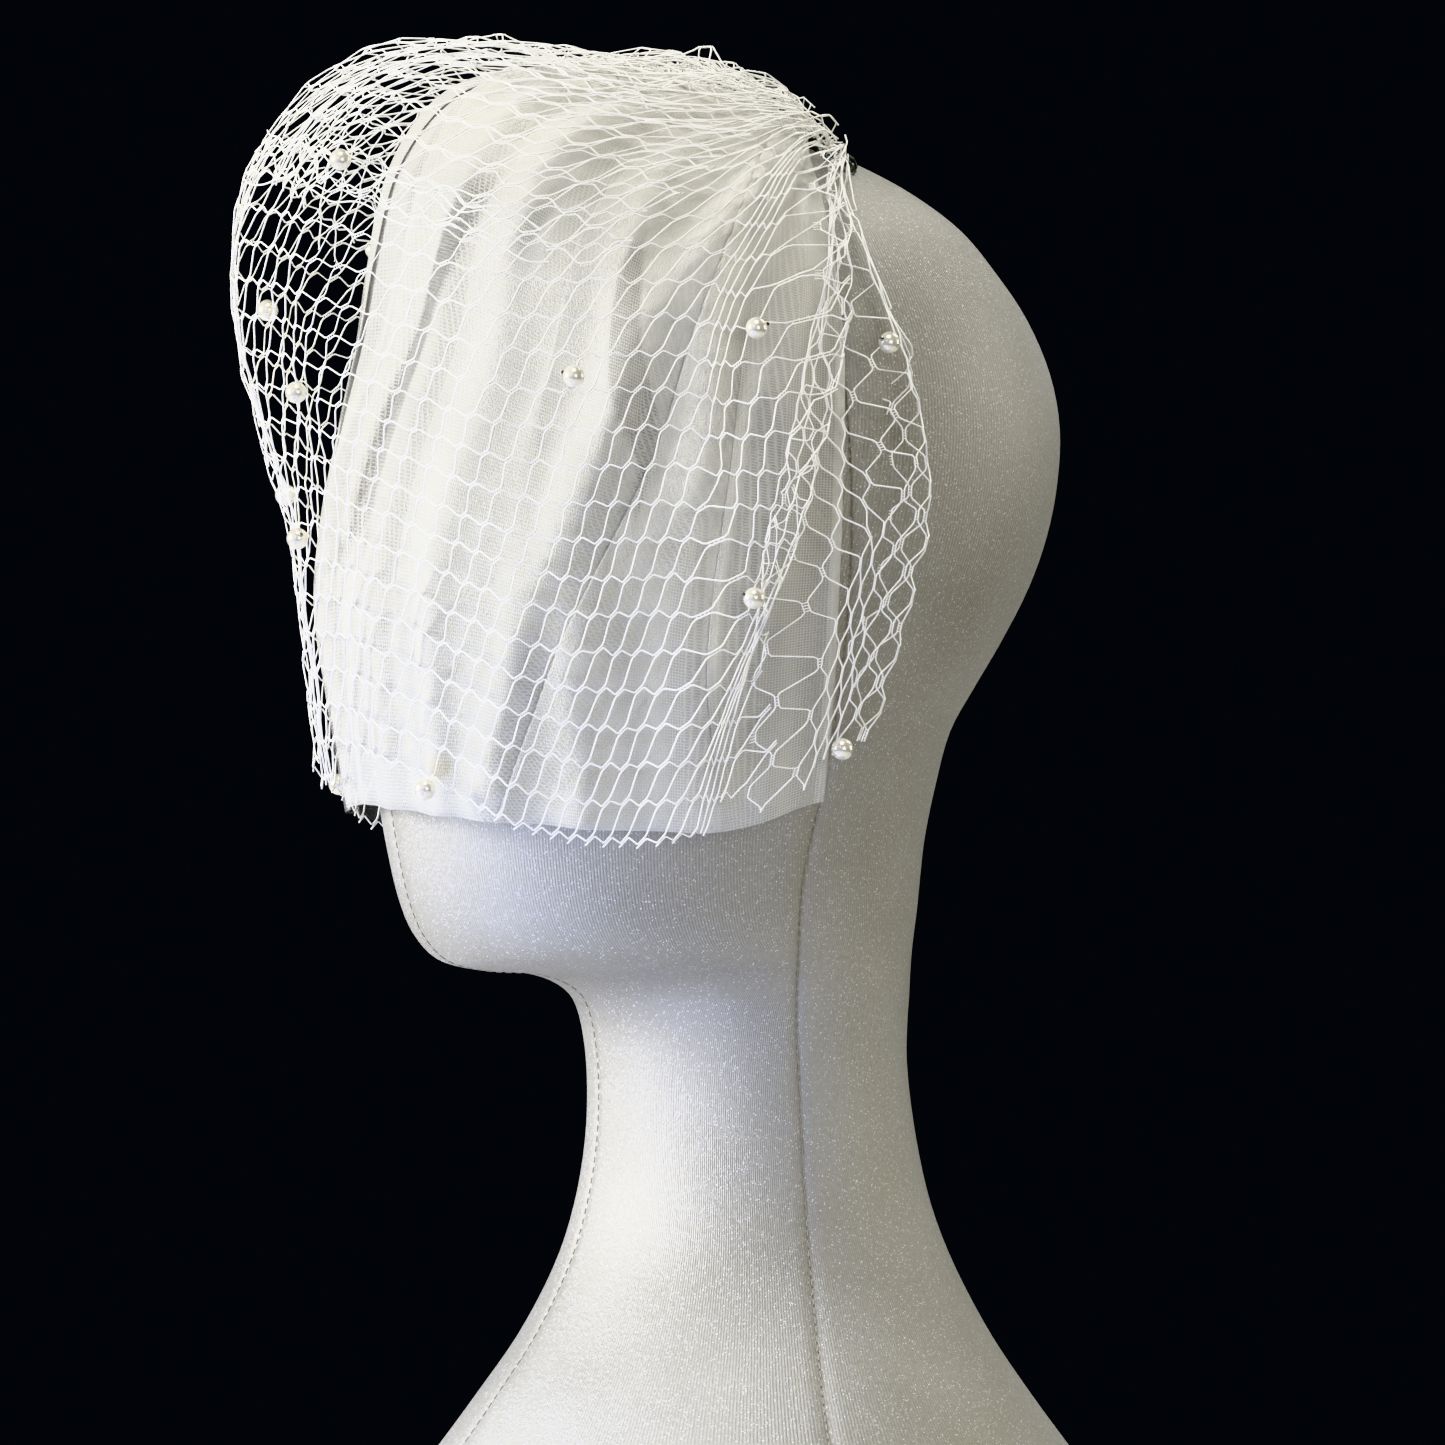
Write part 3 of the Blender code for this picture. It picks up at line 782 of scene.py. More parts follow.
def plain_finish(name, colour, roughness, metallic, grain_scale):
    """A finish with a slight, fine unevenness of tone and gloss."""
    material = new_material(name)
    base, grain = clouded_colour(material, colour, 0.8, grain_scale, 3.0)
    bump = add_node(material, "ShaderNodeBump", {
        "Strength": 0.15, "Distance": 0.0002, "Height": grain,
    })
    add_surface(material, {
        "Base Color": base, "Roughness": roughness, "Metallic": metallic,
        "Normal": bump.outputs["Normal"],
    })
    return material


def give(thing, material):
    """Dress a piece in a material."""
    thing.data.materials.clear()
    thing.data.materials.append(material)


def dress(name, maker, *needs):
    """The named material, made once."""
    return bpy.data.materials.get(name) or maker(*needs)


HEAD_RING_COUNT = 150
HEAD_MEAN_RADIUS = 0.075
HEAD_RING_PITCH = 0.003
PANEL_COLUMNS = 26
SEAM_HALF_WIDTH = 0.9
SEAM_DEPTH = 0.7
STITCH_LENGTH = 1.7
STITCH_PITCH = 2.9
STITCH_WIDTH = 0.00042


def head_row_values(row_share):
    """Ring sizes of the display head at shares of its row table, apex to foot."""
    rows = np.array(HEAD_RINGS)
    numbered = np.column_stack([np.arange(len(rows)), rows])
    return read_columns(numbered, row_share * (len(rows) - 1))


def head_point(values, turn):
    """A point of the head's skin on one ring; turn 0 is the front."""
    front_y, front_z, back_y, back_z, half_width = values
    middle_y, middle_z = (front_y + back_y) / 2, (front_z + back_z) / 2
    y = middle_y + (front_y - middle_y) * np.cos(turn)
    z = middle_z + (front_z - middle_z) * np.cos(turn)
    return np.stack([half_width * np.sin(turn), y, z + np.zeros_like(y)], axis=-1)


def side_seam_turn(values):
    """Turn at which a ring meets the side seam."""
    front_y, front_z, back_y, back_z, half_width = values
    middle_y, depth = (front_y + back_y) / 2, (back_y - front_y) / 2
    seam_y = read_columns(SIDE_SEAM, np.array([(front_z + back_z) / 2]))[0, 0]
    return math.acos(max(-0.6, min(0.6, (middle_y - seam_y) / max(depth, 1.0))))


def ring_turns(values):
    """Turns of a ring's columns, close together at its four seams, and the seam each is on."""
    side = side_seam_turn(values)
    seams = [0.0, side, math.pi, 2 * math.pi - side, 2 * math.pi]
    mean_radius = max((values[4] + (values[2] - values[0]) / 2) / 2, 6.0)
    half = SEAM_HALF_WIDTH / mean_radius
    turns, depths = [], []
    for start, end in zip(seams, seams[1:]):
        turns += [start, start + half]
        depths += [SEAM_DEPTH, 0.0]
        inner = np.linspace(start + half, end - half, PANEL_COLUMNS)[1:]
        turns += list(inner)
        depths += [0.0] * len(inner)
    return np.array(turns), np.array(depths)


def build_head(sizes, colours):
    """The display head with its four seams sunk into the velvet."""
    builder = bmesh.new()
    uv_layer = builder.loops.layers.uv.new("cloth")
    rings, along = [], []
    shares = np.linspace(0.004, 1.0, HEAD_RING_COUNT)
    for values in head_row_values(shares):
        turns, depths = ring_turns(values)
        fade = min(1.0, values[4] / 20.0)
        centre = np.array([0.0, (values[0] + values[2]) / 2, (values[1] + values[3]) / 2])
        points = head_point(values, turns)
        inward = centre - points
        inward = inward / np.maximum(np.linalg.norm(inward, axis=1), 1e-6)[:, None]
        points = points + inward * (depths * fade)[:, None]
        rings.append([builder.verts.new(point) for point in points])
        along.append(turns)
    columns = len(rings[0])
    for row in range(len(rings) - 1):
        for column in range(columns):
            following = (column + 1) % columns
            face = builder.faces.new((
                rings[row][column], rings[row + 1][column],
                rings[row + 1][following], rings[row][following],
            ))
            for loop, (line, place) in zip(face.loops, (
                (row, column), (row + 1, column), (row + 1, column + 1), (row, column + 1),
            )):
                turn = along[line][place] if place < columns else 2 * math.pi
                loop[uv_layer].uv = (turn * HEAD_MEAN_RADIUS, line * HEAD_RING_PITCH)
    builder.faces.new(rings[0][::-1])
    builder.faces.new(rings[-1])
    bmesh.ops.recalc_face_normals(builder, faces=builder.faces)
    head = new_piece("velvet_head", finished_mesh("velvet_head", builder, MILLIMETRE))
    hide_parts("display_head")
    give(head, dress("stretch_velvet", stretch_velvet, sizes, colours))


def build_stitches(colours):
    """Short stitches down the head's four seams."""
    shares = np.linspace(0.02, 0.985, 1400)
    rows = head_row_values(shares)
    lines = []
    for seam in range(4):
        path = []
        for values in rows:
            side = side_seam_turn(values)
            turn = (0.0, side, math.pi, 2 * math.pi - side)[seam]
            path.append(head_point(values, np.array([turn]))[0])
        path = np.array(path)
        lengths = np.concatenate([[0.0], np.cumsum(np.linalg.norm(np.diff(path, axis=0), axis=1))])
        for start in np.arange(2.0, lengths[-1] - STITCH_LENGTH, STITCH_PITCH):
            reach = np.array([start, start + STITCH_LENGTH / 2, start + STITCH_LENGTH])
            line = np.stack([np.interp(reach, lengths, path[:, axis]) for axis in range(3)], axis=1)
            lines.append(line)
    stitches = thread_mesh("head_stitches", lines, STITCH_WIDTH)
    give(stitches, dress(
        "cotton_stitches", plain_finish, "cotton_stitches", colours.stitch, 0.8, 0.0, 900.0,
    ))


TULLE_COLUMNS = 480
TULLE_ROWS = 90
TULLE_THICKNESS = 0.00015

# Width of the cloth for each degree, and its length, in metres, for its mesh's scale
CLOTH_PER_DEGREE = 0.0026
CLOTH_LENGTH = 0.30

# How much the parting thins the cloth
PARTING_THINS = 0.5


def tulle_cover(angle, share):
    """How much of the light the tulle stops, with its parting and its bands."""
    seat = angle + pleat_shifts(TULLE_PLEATS, angle, share)[0]
    at_comb, at_hem = read_columns(TULLE_COVER, np.abs(seat)).T
    cover = at_comb + (at_hem - at_comb) * ramp(share, 0.1, 0.6)
    cover = cover + 0.07 * soft_noise(angle * 3.0, share * 0.4, 11)
    inner, outer = read_columns(TULLE_PARTING, share).T
    parting = ramp(np.abs(seat), inner - 0.5, inner + 0.5)
    parting = parting * (1.0 - ramp(np.abs(seat), outer - 0.5, outer + 0.5))
    parting = parting * ramp(share, 0.36, 0.41) * (1.0 - ramp(share, 0.65, 0.70))
    cover = cover * (1.0 - PARTING_THINS * parting)
    for start, end, first, last, bow, half_width, factor in TULLE_BANDS:
        way = np.clip((share - start) / (end - start), 0.0, 1.0)
        middle = first + (last - first) * way + bow * 4.0 * way * (1.0 - way)
        inside = 1.0 - ramp(np.abs(seat - middle), 0.6 * half_width, 1.25 * half_width)
        inside = inside * ramp(share, start, start + 0.08) * (1.0 - ramp(share, end - 0.1, end))
        cover = cover * (1.0 + (factor - 1.0) * inside)
    return np.clip(cover, 0.03, 0.95)


def build_tulle(sizes, colours):
    """The tulle blusher: one thin sheet with its pleats doubled back on themselves."""
    builder = bmesh.new()
    builder.loops.layers.uv.new("cloth")
    bmesh.ops.create_grid(
        builder, x_segments=TULLE_COLUMNS, y_segments=TULLE_ROWS, size=0.5, calc_uvs=True
    )
    places = np.array([vertex.co[:] for vertex in builder.verts])
    angle = 180.0 * places[:, 0]
    share = 0.5 - places[:, 1]
    for vertex, point in zip(builder.verts, tulle_points(angle, share)):
        vertex.co = point
    tulle = new_piece("tulle_sheet", finished_mesh("tulle_sheet", builder, MILLIMETRE))
    cover = tulle_cover(angle, share)
    attribute = tulle.data.attributes.new("cover", "FLOAT", "POINT")
    attribute.data.foreach_set("value", cover.astype(np.float32))
    loops = np.zeros(len(tulle.data.loops), dtype=np.int32)
    tulle.data.loops.foreach_get("vertex_index", loops)
    cloth = np.stack([angle[loops] * CLOTH_PER_DEGREE, share[loops] * CLOTH_LENGTH], axis=1)
    tulle.data.uv_layers.active.data.foreach_set("uv", cloth.astype(np.float32).ravel())
    solidify = tulle.modifiers.new("thickness", "SOLIDIFY")
    solidify.thickness = TULLE_THICKNESS
    solidify.offset = 0.0
    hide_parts("tulle_blusher")
    give(tulle, dress("sheer_soft_tulle", sheer_tulle, sizes, colours))


class Netting:
    """Threads and knots of one layer of hexagonal net, laid on a surface."""

    # share of the way down where the cloth's width is measured
    MEASURED_AT = 0.62
    # steps of the reading down the cloth, and how far knots are shaken out of place
    STEP_DOWN = 1.5
    SHAKE = 0.30
    # the longest stretch between two points of one thread
    LONGEST_STRETCH = 14.0

    def __init__(self, surface, span, shares, turns, sizes, seed, tangle, hand=1):
        self.surface = surface
        self.turns = turns
        self.hand = hand
        self.shares = shares
        self.half_cell = sizes.cell_length / 2 / MILLIMETRE
        self.half_row = sizes.cell_height / 2 / MILLIMETRE
        self.bar = sizes.knot_length / MILLIMETRE
        self.gap = sizes.knot_gap / MILLIMETRE
        self.tangle = tangle
        self.angles = np.linspace(*span, 501)
        self.measure_across()
        self.measure_down()
        self.random = np.random.default_rng(seed)
        self.lay_out()

    def measure_across(self):
        """Distances along the cloth where it is measured, and how the weave has turned there."""
        level = self.shares[0] + self.MEASURED_AT * (self.shares[1] - self.shares[0])
        points = self.surface(self.angles, np.full_like(self.angles, level))
        steps = np.linalg.norm(np.diff(points, axis=0), axis=1)
        self.across = np.concatenate([[0.0], np.cumsum(steps)])
        lean, crossing = np.radians(read_columns(self.turns, np.abs(self.angles))).T
        row_way = lean + crossing
        if self.hand < 0:
            lean, row_way = -lean, math.pi - row_way
        slant = np.sin(row_way - lean)
        self.over = -np.cos(row_way) / slant
        self.upward = np.cos(lean) / slant
        level_rate = np.sin(row_way) / slant
        rise_rate = np.sin(lean) / slant
        step = np.diff(self.across) / 2
        self.level = np.concatenate([[0.0], np.cumsum((level_rate[1:] + level_rate[:-1]) * step)])
        self.rise = np.concatenate([[0.0], np.cumsum((rise_rate[1:] + rise_rate[:-1]) * step)])
        centre = np.argmin(np.abs(self.angles))
        self.level -= self.level[centre]
        self.rise -= self.rise[centre]

    def measure_down(self):
        """Shares of the drop at each distance up from the hem, for a fan of angles."""
        self.fan = np.linspace(self.angles[0], self.angles[-1], 115)
        levels = np.linspace(self.shares[1], self.shares[0], 121)
        grid_angle = np.repeat(self.fan, len(levels))
        grid_share = np.tile(levels, len(self.fan))
        points = self.surface(grid_angle, grid_share).reshape(len(self.fan), len(levels), 3)
        steps = np.linalg.norm(np.diff(points, axis=1), axis=2)
        lengths = np.concatenate([np.zeros((len(self.fan), 1)), np.cumsum(steps, axis=1)], axis=1)
        self.reach = lengths[:, -1]
        self.longest = lengths.max()
        self.distances = np.arange(0.0, self.longest + 2 * self.STEP_DOWN, self.STEP_DOWN)
        self.share_at = np.array([np.interp(self.distances, row, levels) for row in lengths])

    def share_of(self, angle, distance):
        """Share of the drop at a distance up from the hem."""
        column = np.interp(angle, self.fan, np.arange(len(self.fan)))
        low = np.clip(column.astype(int), 0, len(self.fan) - 2)
        part = column - low
        row = np.clip(distance / self.STEP_DOWN, 0, len(self.distances) - 1.001)
        down = row.astype(int)
        rest = row - down
        first = self.share_at[low, down] * (1 - rest) + self.share_at[low, down + 1] * rest
        second = self.share_at[low + 1, down] * (1 - rest) + self.share_at[low + 1, down + 1] * rest
        return first * (1 - part) + second * part

    def find(self, along, beside):
        """Angle and height above the hem of places in the flat weave, and which are on it."""
        off_level = along[:, None] - self.level
        off_rise = beside[:, None] + self.rise
        miss = off_level * self.upward - off_rise * self.over
        height = off_level * self.over + off_rise * self.upward
        height = height / (self.over**2 + self.upward**2)
        hit = (miss[:, :-1] >= 0) & (miss[:, 1:] < 0) & (height[:, :-1] > -6.0)
        column = np.argmax(hit, axis=1)
        rows = np.arange(len(along))
        before, after = miss[rows, column], miss[rows, column + 1]
        part = before / np.where(before == after, 1.0, before - after)
        angle = self.angles[column] + part * (self.angles[1] - self.angles[0])
        up = height[rows, column] + part * (height[rows, column + 1] - height[rows, column])
        top = np.interp(angle, self.fan, self.reach)
        return angle, up, hit.any(axis=1) & (up < top) & (up > -0.4)

    def lay_out(self):
        """Knots of the flat weave that the layer reaches, each shaken a little out of place."""
        spread = self.longest + 12.0
        self.columns = int((np.abs(self.level).max() + spread) / self.half_cell) + 1
        low = -np.abs(self.rise).max() - 12.0
        spread += np.abs(self.rise).max()
        self.first_row = int(low / self.half_row)
        self.rows = int((spread - low) / self.half_row) + 2
        self.shake = self.random.normal(0.0, 1.0, (2 * self.columns + 3, self.rows + 3, 3))
        columns = np.arange(-self.columns, self.columns + 1)
        grid_column = np.repeat(columns, self.rows + 1)
        grid_row = np.tile(np.arange(self.rows + 1), len(columns))
        along, beside, _ = self.knot(grid_column, grid_row)
        on = self.find(along, beside)[2] & ((grid_column + grid_row) % 2 == 0)
        on = np.pad(on.reshape(len(columns), self.rows + 1), 1).astype(int)
        for _ in range(4):
            beside_on = on[:-2, :-2] + on[:-2, 2:] + on[2:, :-2] + on[2:, 2:]
            on[1:-1, 1:-1] *= beside_on >= 2
        self.tied = on[1:-1, 1:-1] > 0

    def knot(self, column, row):
        """Place in the flat weave and lift of a knot."""
        shake = self.shake[column + self.columns, row]
        along = column * self.half_cell + self.SHAKE * shake[..., 0]
        beside = (row + self.first_row) * self.half_row + self.SHAKE * shake[..., 1]
        return along, beside, shake[..., 2]

    def place(self, along, beside, lift):
        """Points on the layer at places in the flat weave, and which are on it."""
        angle, up, on = self.find(along, beside)
        share = self.share_of(angle, np.maximum(up, 0.0))
        gathered = 1.0 - ramp(share, self.shares[0], self.shares[0] + 0.45)
        points = self.surface(angle, share, lift * (0.35 + self.tangle * gathered))
        return points, on

    def threads(self):
        """Lines of the zigzag threads, each cut where it leaves the layer."""
        lines = []
        columns = np.arange(-self.columns, self.columns + 1)
        for row in range(self.rows - 1):
            meets_own = (columns + row) % 2 == 0
            rows = np.where(meets_own, row, row + 1)
            along, beside, lift = self.knot(columns, rows)
            side = np.where(meets_own, 0.5, -0.5) * self.gap
            spots = []
            for first, second, share, settle in (
                (0, 0, -0.5, 0.0), (0, 0, 0.5, 0.0), (0, 1, 0.16, 0.09), (0, 1, 0.84, 0.91),
            ):
                here = slice(0, -1)
                ahead = slice(second, len(columns) - 1 + second)
                if second:
                    start, end = along[here] + self.bar / 2, along[ahead] - self.bar / 2
                    x = start + (end - start) * share
                    y = beside[here] + side[here]
                    y = y + (beside[ahead] + side[ahead] - y) * settle
                    z = lift[here] + (lift[ahead] - lift[here]) * share
                else:
                    x = along[here] + self.bar * share
                    y = beside[here] + side[here]
                    z = lift[here]
                spots.append(np.stack([x, y, z], axis=1))
            path = np.stack(spots, axis=1).reshape(-1, 3)
            tied = self.tied[columns + self.columns, rows]
            linked = tied[:-1] & tied[1:]
            kept = np.stack([tied[:-1], tied[:-1], linked, linked], axis=1).ravel()
            lines += self.cut(path, kept)
        return lines

    def cut(self, path, kept):
        """The stretches of a path that are on the layer, each ending in a short tail."""
        points, on = self.place(path[:, 0], path[:, 1], path[:, 2])
        on = on & kept
        edges = np.flatnonzero(np.diff(np.concatenate([[0], on.astype(int), [0]])))
        lines = []
        for start, end in zip(edges[::2], edges[1::2]):
            stretch = points[start:end]
            jumps = np.linalg.norm(np.diff(stretch, axis=0), axis=1)
            for piece in np.split(stretch, np.flatnonzero(jumps > self.LONGEST_STRETCH) + 1):
                if len(piece) < 4:
                    continue
                tails = []
                for last, before in ((piece[0], piece[1]), (piece[-1], piece[-2])):
                    way = last - before
                    tails.append(last + way / max(np.linalg.norm(way), 1e-6) * TAIL_LENGTH)
                lines.append(np.vstack([tails[0], piece, tails[1]]))
        return lines

    def bundle(self, tuck):
        """Threads drawn together along a tuck."""
        lines = []
        for share, start, end, rise in tuck:
            angle = np.linspace(start, end, 60)
            wander = 0.006 * soft_noise(angle * 3.0, angle * 0.0, int(share * 1000))
            level = share + wander + rise * np.sin(np.linspace(0.0, np.pi, 60))
            lift = 1.2 * soft_noise(angle * 2.0, angle * 0.0, int(share * 3000))
            lines.append(self.surface(angle, level, lift))
        return lines

    def rungs(self):
        """Short crossings that tie two threads together at each knot."""
        lines = []
        columns = np.arange(-self.columns, self.columns + 1)
        for row in range(1, self.rows):
            own = columns[(columns + row) % 2 == 0]
            along, beside, lift = self.knot(own, np.full_like(own, row))
            for step in (-0.42, -0.14, 0.14, 0.42):
                x = along + step * self.bar
                left, left_on = self.place(x, beside - self.gap / 2, lift)
                right, right_on = self.place(x, beside + self.gap / 2, lift)
                keep = left_on & right_on & self.tied[own + self.columns, row]
                lines += [np.array(pair) for pair in zip(left[keep], right[keep])]
        return lines


def build_netting(name, layers, sizes, colours, node, tuck=()):
    """Layers of net as one piece of threads and one of knots."""
    threads = layers[0].bundle(tuck)
    for layer in layers:
        threads += layer.threads()
    rungs = [line for layer in layers for line in layer.rungs()]
    finish = dress("nylon_netting_thread", nylon_thread, colours)
    pieces = (
        thread_mesh(f"{name}_threads", threads, sizes.thread_width),
        thread_mesh(f"{name}_knots", rungs, sizes.thread_width * RUNG_SHARE),
    )
    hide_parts(node)
    # the threads' surface, measured all round them, is about half the net's flat area
    for piece in pieces:
        give(piece, finish)


def build_net(sizes, colours):
    """The outer net: its two halves lap at the front, and each laps its edge in the side fold."""
    whole = (0.0, 1.0)
    layers = (
        Netting(net_points, (-22.0, 80.0), whole, WEAVE_TURNS, sizes, 3, 1.5),
        Netting(net_points, (-80.0, -13.0), whole, WEAVE_TURNS, sizes, 4, 1.5, -1),
        Netting(net_points, (76.0, NET_EDGE_ANGLE), whole, EDGE_TURNS, sizes, 5, 1.5),
        Netting(net_points, (-NET_EDGE_ANGLE, -76.0), whole, EDGE_TURNS, sizes, 6, 1.5, -1),
    )
    build_netting("net", layers, sizes, colours, "net_cage", TUCK_THREADS)


def build_ruffle(sizes, colours):
    """The turned-over stretch of net under the puff."""
    layer = Netting(ruffle_points, (-62.0, 62.0), (0.02, 0.5), WEAVE_TURNS, sizes, 8, 1.2)
    build_netting("ruffle", (layer,), sizes, colours, "net_ruffle")


def build_pearls(sizes, colours):
    """Round pearls, each where its solid sits on the net, with a crimp beside its hole."""
    finish = dress("ivory_pearl_lacquer", ivory_pearl, colours)
    crimps = bmesh.new()
    for number in range(1, len(PEARL_PLACES) + 1):
        node = f"pearl_{number:02d}"
        low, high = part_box(node)
        centre = (Vector(low) + Vector(high)) / 2
        builder = bmesh.new()
        bmesh.ops.create_uvsphere(builder, u_segments=32, v_segments=20, radius=sizes.pearl_width / 2)
        bmesh.ops.translate(builder, vec=centre, verts=builder.verts)
        pearl = new_piece(f"round_{node}", finished_mesh(f"round_{node}", builder))
        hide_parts(node)
        give(pearl, finish)
        outward = Vector((centre.x, centre.y + 0.03, 0.0)).normalized()
        along = outward.cross(Vector((0.0, 0.0, 1.0 if number % 3 else -1.0)))
        along = (along + Vector((0.0, 0.0, 0.35))).normalized()
        turn = along.to_track_quat("Z", "Y").to_matrix().to_4x4()
        seat = Matrix.Translation(centre + along * (sizes.pearl_width / 2 + 0.0001)) @ turn
        bmesh.ops.create_cone(
            crimps, cap_ends=True, segments=12, radius1=0.0007, radius2=0.0005, depth=0.0011,
            matrix=seat,
        )
    mesh = finished_mesh("pearl_crimps", crimps, smooth=False)
    give(new_piece("pearl_crimps", mesh), dress(
        "silver_crimp", plain_finish, "silver_crimp", colours.crimp, 0.25, 1.0, 900.0,
    ))


def crown_height(x, y):
    """Height of the head's crown, from its comb line forward."""
    return 419.4 - 0.0066 * x * x - 0.004 * (y + 18.0) ** 2 + 3.0


def build_comb(colours):
    """A wire comb: two rails wound with thin wire, and bent wire teeth under the tulle."""
    half = COMB_LENGTH / 2
    places = np.linspace(-half, half, 60)
    lines = []
    for offset in (-1.1, 1.1):
        rail = [(x, COMB_Y + offset, crown_height(x, COMB_Y)) for x in places]
        lines.append(np.array(rail))
    for tooth in range(COMB_TEETH):
        x = -half + COMB_LENGTH * (tooth + 0.5) / COMB_TEETH
        line = [(x, y, crown_height(x, y) - 0.6) for y in np.linspace(COMB_Y, COMB_Y - 29.0, 10)]
        lines.append(np.array(line))
    wind = np.linspace(0, 1, COMB_TURNS * 10)
    swell = 1.0 + 0.25 * soft_noise(wind * 400.0, wind * 0.0, 21)
    spiral = np.stack([
        -half + COMB_LENGTH * wind,
        COMB_Y + 1.2 + 3.6 * swell * np.cos(2 * np.pi * COMB_TURNS * wind),
        crown_height(-half + COMB_LENGTH * wind, COMB_Y)
        + 0.8 + 2.4 * swell * np.sin(2 * np.pi * COMB_TURNS * wind),
    ], axis=1)
    wires = thread_mesh("comb_wires", lines + [spiral], COMB_WIRE_WIDTH, 1)
    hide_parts("comb")
    give(wires, dress(
        "drawn_comb_wire", plain_finish, "drawn_comb_wire", colours.wire, 0.32, 1.0, 400.0,
    ))


def add_light(name, azimuth, height, distance, size, power, colour):
    """A soft square light aimed at the middle of the head."""
    lamp = bpy.data.lights.new(name, "AREA")
    lamp.shape = "SQUARE"
    lamp.size = size
    lamp.energy = power
    lamp.color = colour
    holder = linked_object(name, lamp)
    turn = math.radians(azimuth)
    place = Vector((math.sin(turn) * distance, -math.cos(turn) * distance, height))
    aim = Vector((0.0, -0.02, 0.28))
    holder.location = place
    holder.rotation_euler = (aim - place).to_track_quat("-Z", "Y").to_euler()


def build_stage(colours):
    """Pale floor, dark plain background, soft lights and the camera."""
    builder = bmesh.new()
    bmesh.ops.create_circle(builder, cap_ends=True, segments=96, radius=650.0)
    bmesh.ops.translate(builder, vec=(0.0, 0.0, -1.0), verts=builder.verts)
    mesh = finished_mesh("pale_floor", builder, MILLIMETRE, smooth=False)
    floor = linked_object("pale_floor", mesh)
    floor.data.materials.append(dress(
        "matt_floor", plain_finish, "matt_floor", colours.floor, 0.85, 0.0, 40.0,
    ))

    world = bpy.data.worlds.new("plain_dark")
    world.use_nodes = True
    world.node_tree.nodes["Background"].inputs["Color"].default_value = opaque(colours.backdrop)
    world.node_tree.nodes["Background"].inputs["Strength"].default_value = 1.0
    bpy.context.scene.world = world
    for light in STAGE_LIGHTS:
        add_light(*light)
    bpy.context.scene.view_settings.view_transform = "Khronos PBR Neutral"

    turn = math.radians(CAMERA_AZIMUTH)
    right = Vector((math.cos(turn), math.sin(turn), 0.0))
    back = Vector((math.sin(turn), -math.cos(turn), 0.0))
    aim = right * FRAME_MIDDLE_ACROSS + Vector((0.0, 0.0, FRAME_MIDDLE_HEIGHT))
    camera_data = bpy.data.cameras.new("camera")
    camera_data.sensor_width = SENSOR_WIDTH
    camera_data.lens = SENSOR_WIDTH * CAMERA_DISTANCE / FRAME_WIDTH
    camera = linked_object("camera", camera_data)
    camera.location = (aim + back * CAMERA_DISTANCE) * MILLIMETRE
    camera.rotation_euler = (-back).to_track_quat("-Z", "Y").to_euler()
    bpy.context.scene.camera = camera
    bpy.context.scene.cycles.transparent_max_bounces = 48


class VEIL_OT_stage(bpy.types.Operator):
    """Make the floor, lights and camera"""

    bl_idname = "veil.make_stage"
    bl_label = "Stage"

    def execute(self, context):
        build_stage(context.scene.veil_colours)
        return {"FINISHED"}


class VEIL_OT_head(bpy.types.Operator):
    """Make the velvet display head and its stitches"""

    bl_idname = "veil.make_head"
    bl_label = "Display Head"

    def execute(self, context):
        build_head(context.scene.veil_sizes, context.scene.veil_colours)
        build_stitches(context.scene.veil_colours)
        return {"FINISHED"}


class VEIL_OT_tulle(bpy.types.Operator):
    """Make the tulle blusher"""

    bl_idname = "veil.make_tulle"
    bl_label = "Tulle"

    def execute(self, context):
        build_tulle(context.scene.veil_sizes, context.scene.veil_colours)
        return {"FINISHED"}


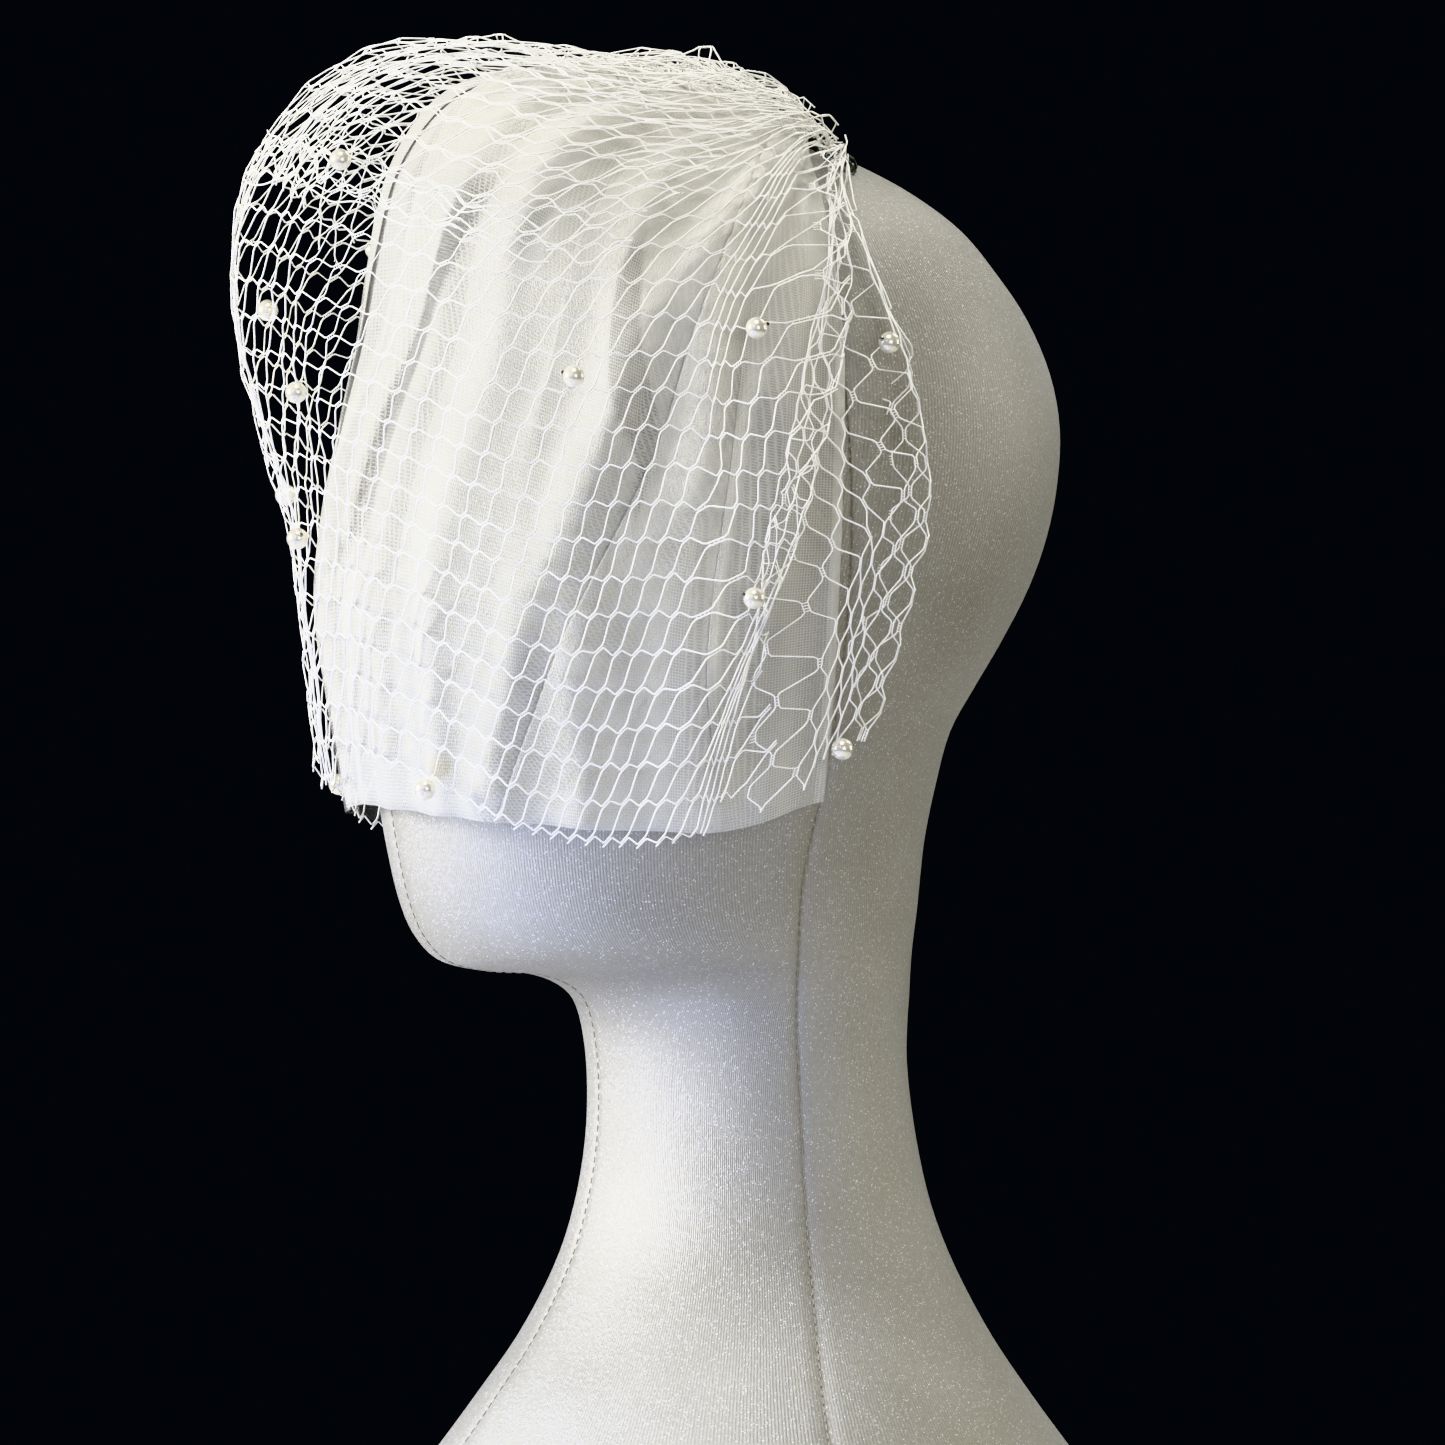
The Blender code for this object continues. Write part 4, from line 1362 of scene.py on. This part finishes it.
class VEIL_OT_net(bpy.types.Operator):
    """Make the outer net and the turned-over net under its puff"""

    bl_idname = "veil.make_net"
    bl_label = "Netting"

    def execute(self, context):
        build_net(context.scene.veil_sizes, context.scene.veil_colours)
        build_ruffle(context.scene.veil_sizes, context.scene.veil_colours)
        return {"FINISHED"}


class VEIL_OT_pearls(bpy.types.Operator):
    """Make the pearls"""

    bl_idname = "veil.make_pearls"
    bl_label = "Pearls"

    def execute(self, context):
        build_pearls(context.scene.veil_sizes, context.scene.veil_colours)
        return {"FINISHED"}


class VEIL_OT_comb(bpy.types.Operator):
    """Make the wire comb"""

    bl_idname = "veil.make_comb"
    bl_label = "Comb"

    def execute(self, context):
        build_comb(context.scene.veil_colours)
        return {"FINISHED"}


OPERATORS = (
    VEIL_OT_stage, VEIL_OT_head, VEIL_OT_tulle, VEIL_OT_net, VEIL_OT_pearls, VEIL_OT_comb,
)


class VEIL_PT_panel(bpy.types.Panel):
    """The veil's sizes, colours and pieces"""

    bl_idname = "VEIL_PT_panel"
    bl_label = "Birdcage Veil"
    bl_space_type = "VIEW_3D"
    bl_region_type = "UI"
    bl_category = "Veil"

    def draw(self, context):
        for group in (context.scene.veil_sizes, context.scene.veil_colours):
            for name in group.__annotations__:
                self.layout.prop(group, name)
        for operator in OPERATORS:
            self.layout.operator(operator.bl_idname)


def register():
    """Make the classes and their settings known."""
    for item in (VeilSizes, VeilColours, *OPERATORS, VEIL_PT_panel):
        bpy.utils.register_class(item)
    bpy.types.Scene.veil_sizes = PointerProperty(type=VeilSizes)
    bpy.types.Scene.veil_colours = PointerProperty(type=VeilColours)


def unregister():
    """Take the classes and their settings away."""
    del bpy.types.Scene.veil_sizes
    del bpy.types.Scene.veil_colours
    for item in (VEIL_PT_panel, *reversed(OPERATORS), VeilColours, VeilSizes):
        bpy.utils.unregister_class(item)


def main():
    """Make every piece in order."""
    register()
    bpy.ops.veil.make_stage()
    bpy.ops.veil.make_head()
    bpy.ops.veil.make_tulle()
    bpy.ops.veil.make_net()
    bpy.ops.veil.make_pearls()
    bpy.ops.veil.make_comb()


if __name__ == "__main__":
    main()
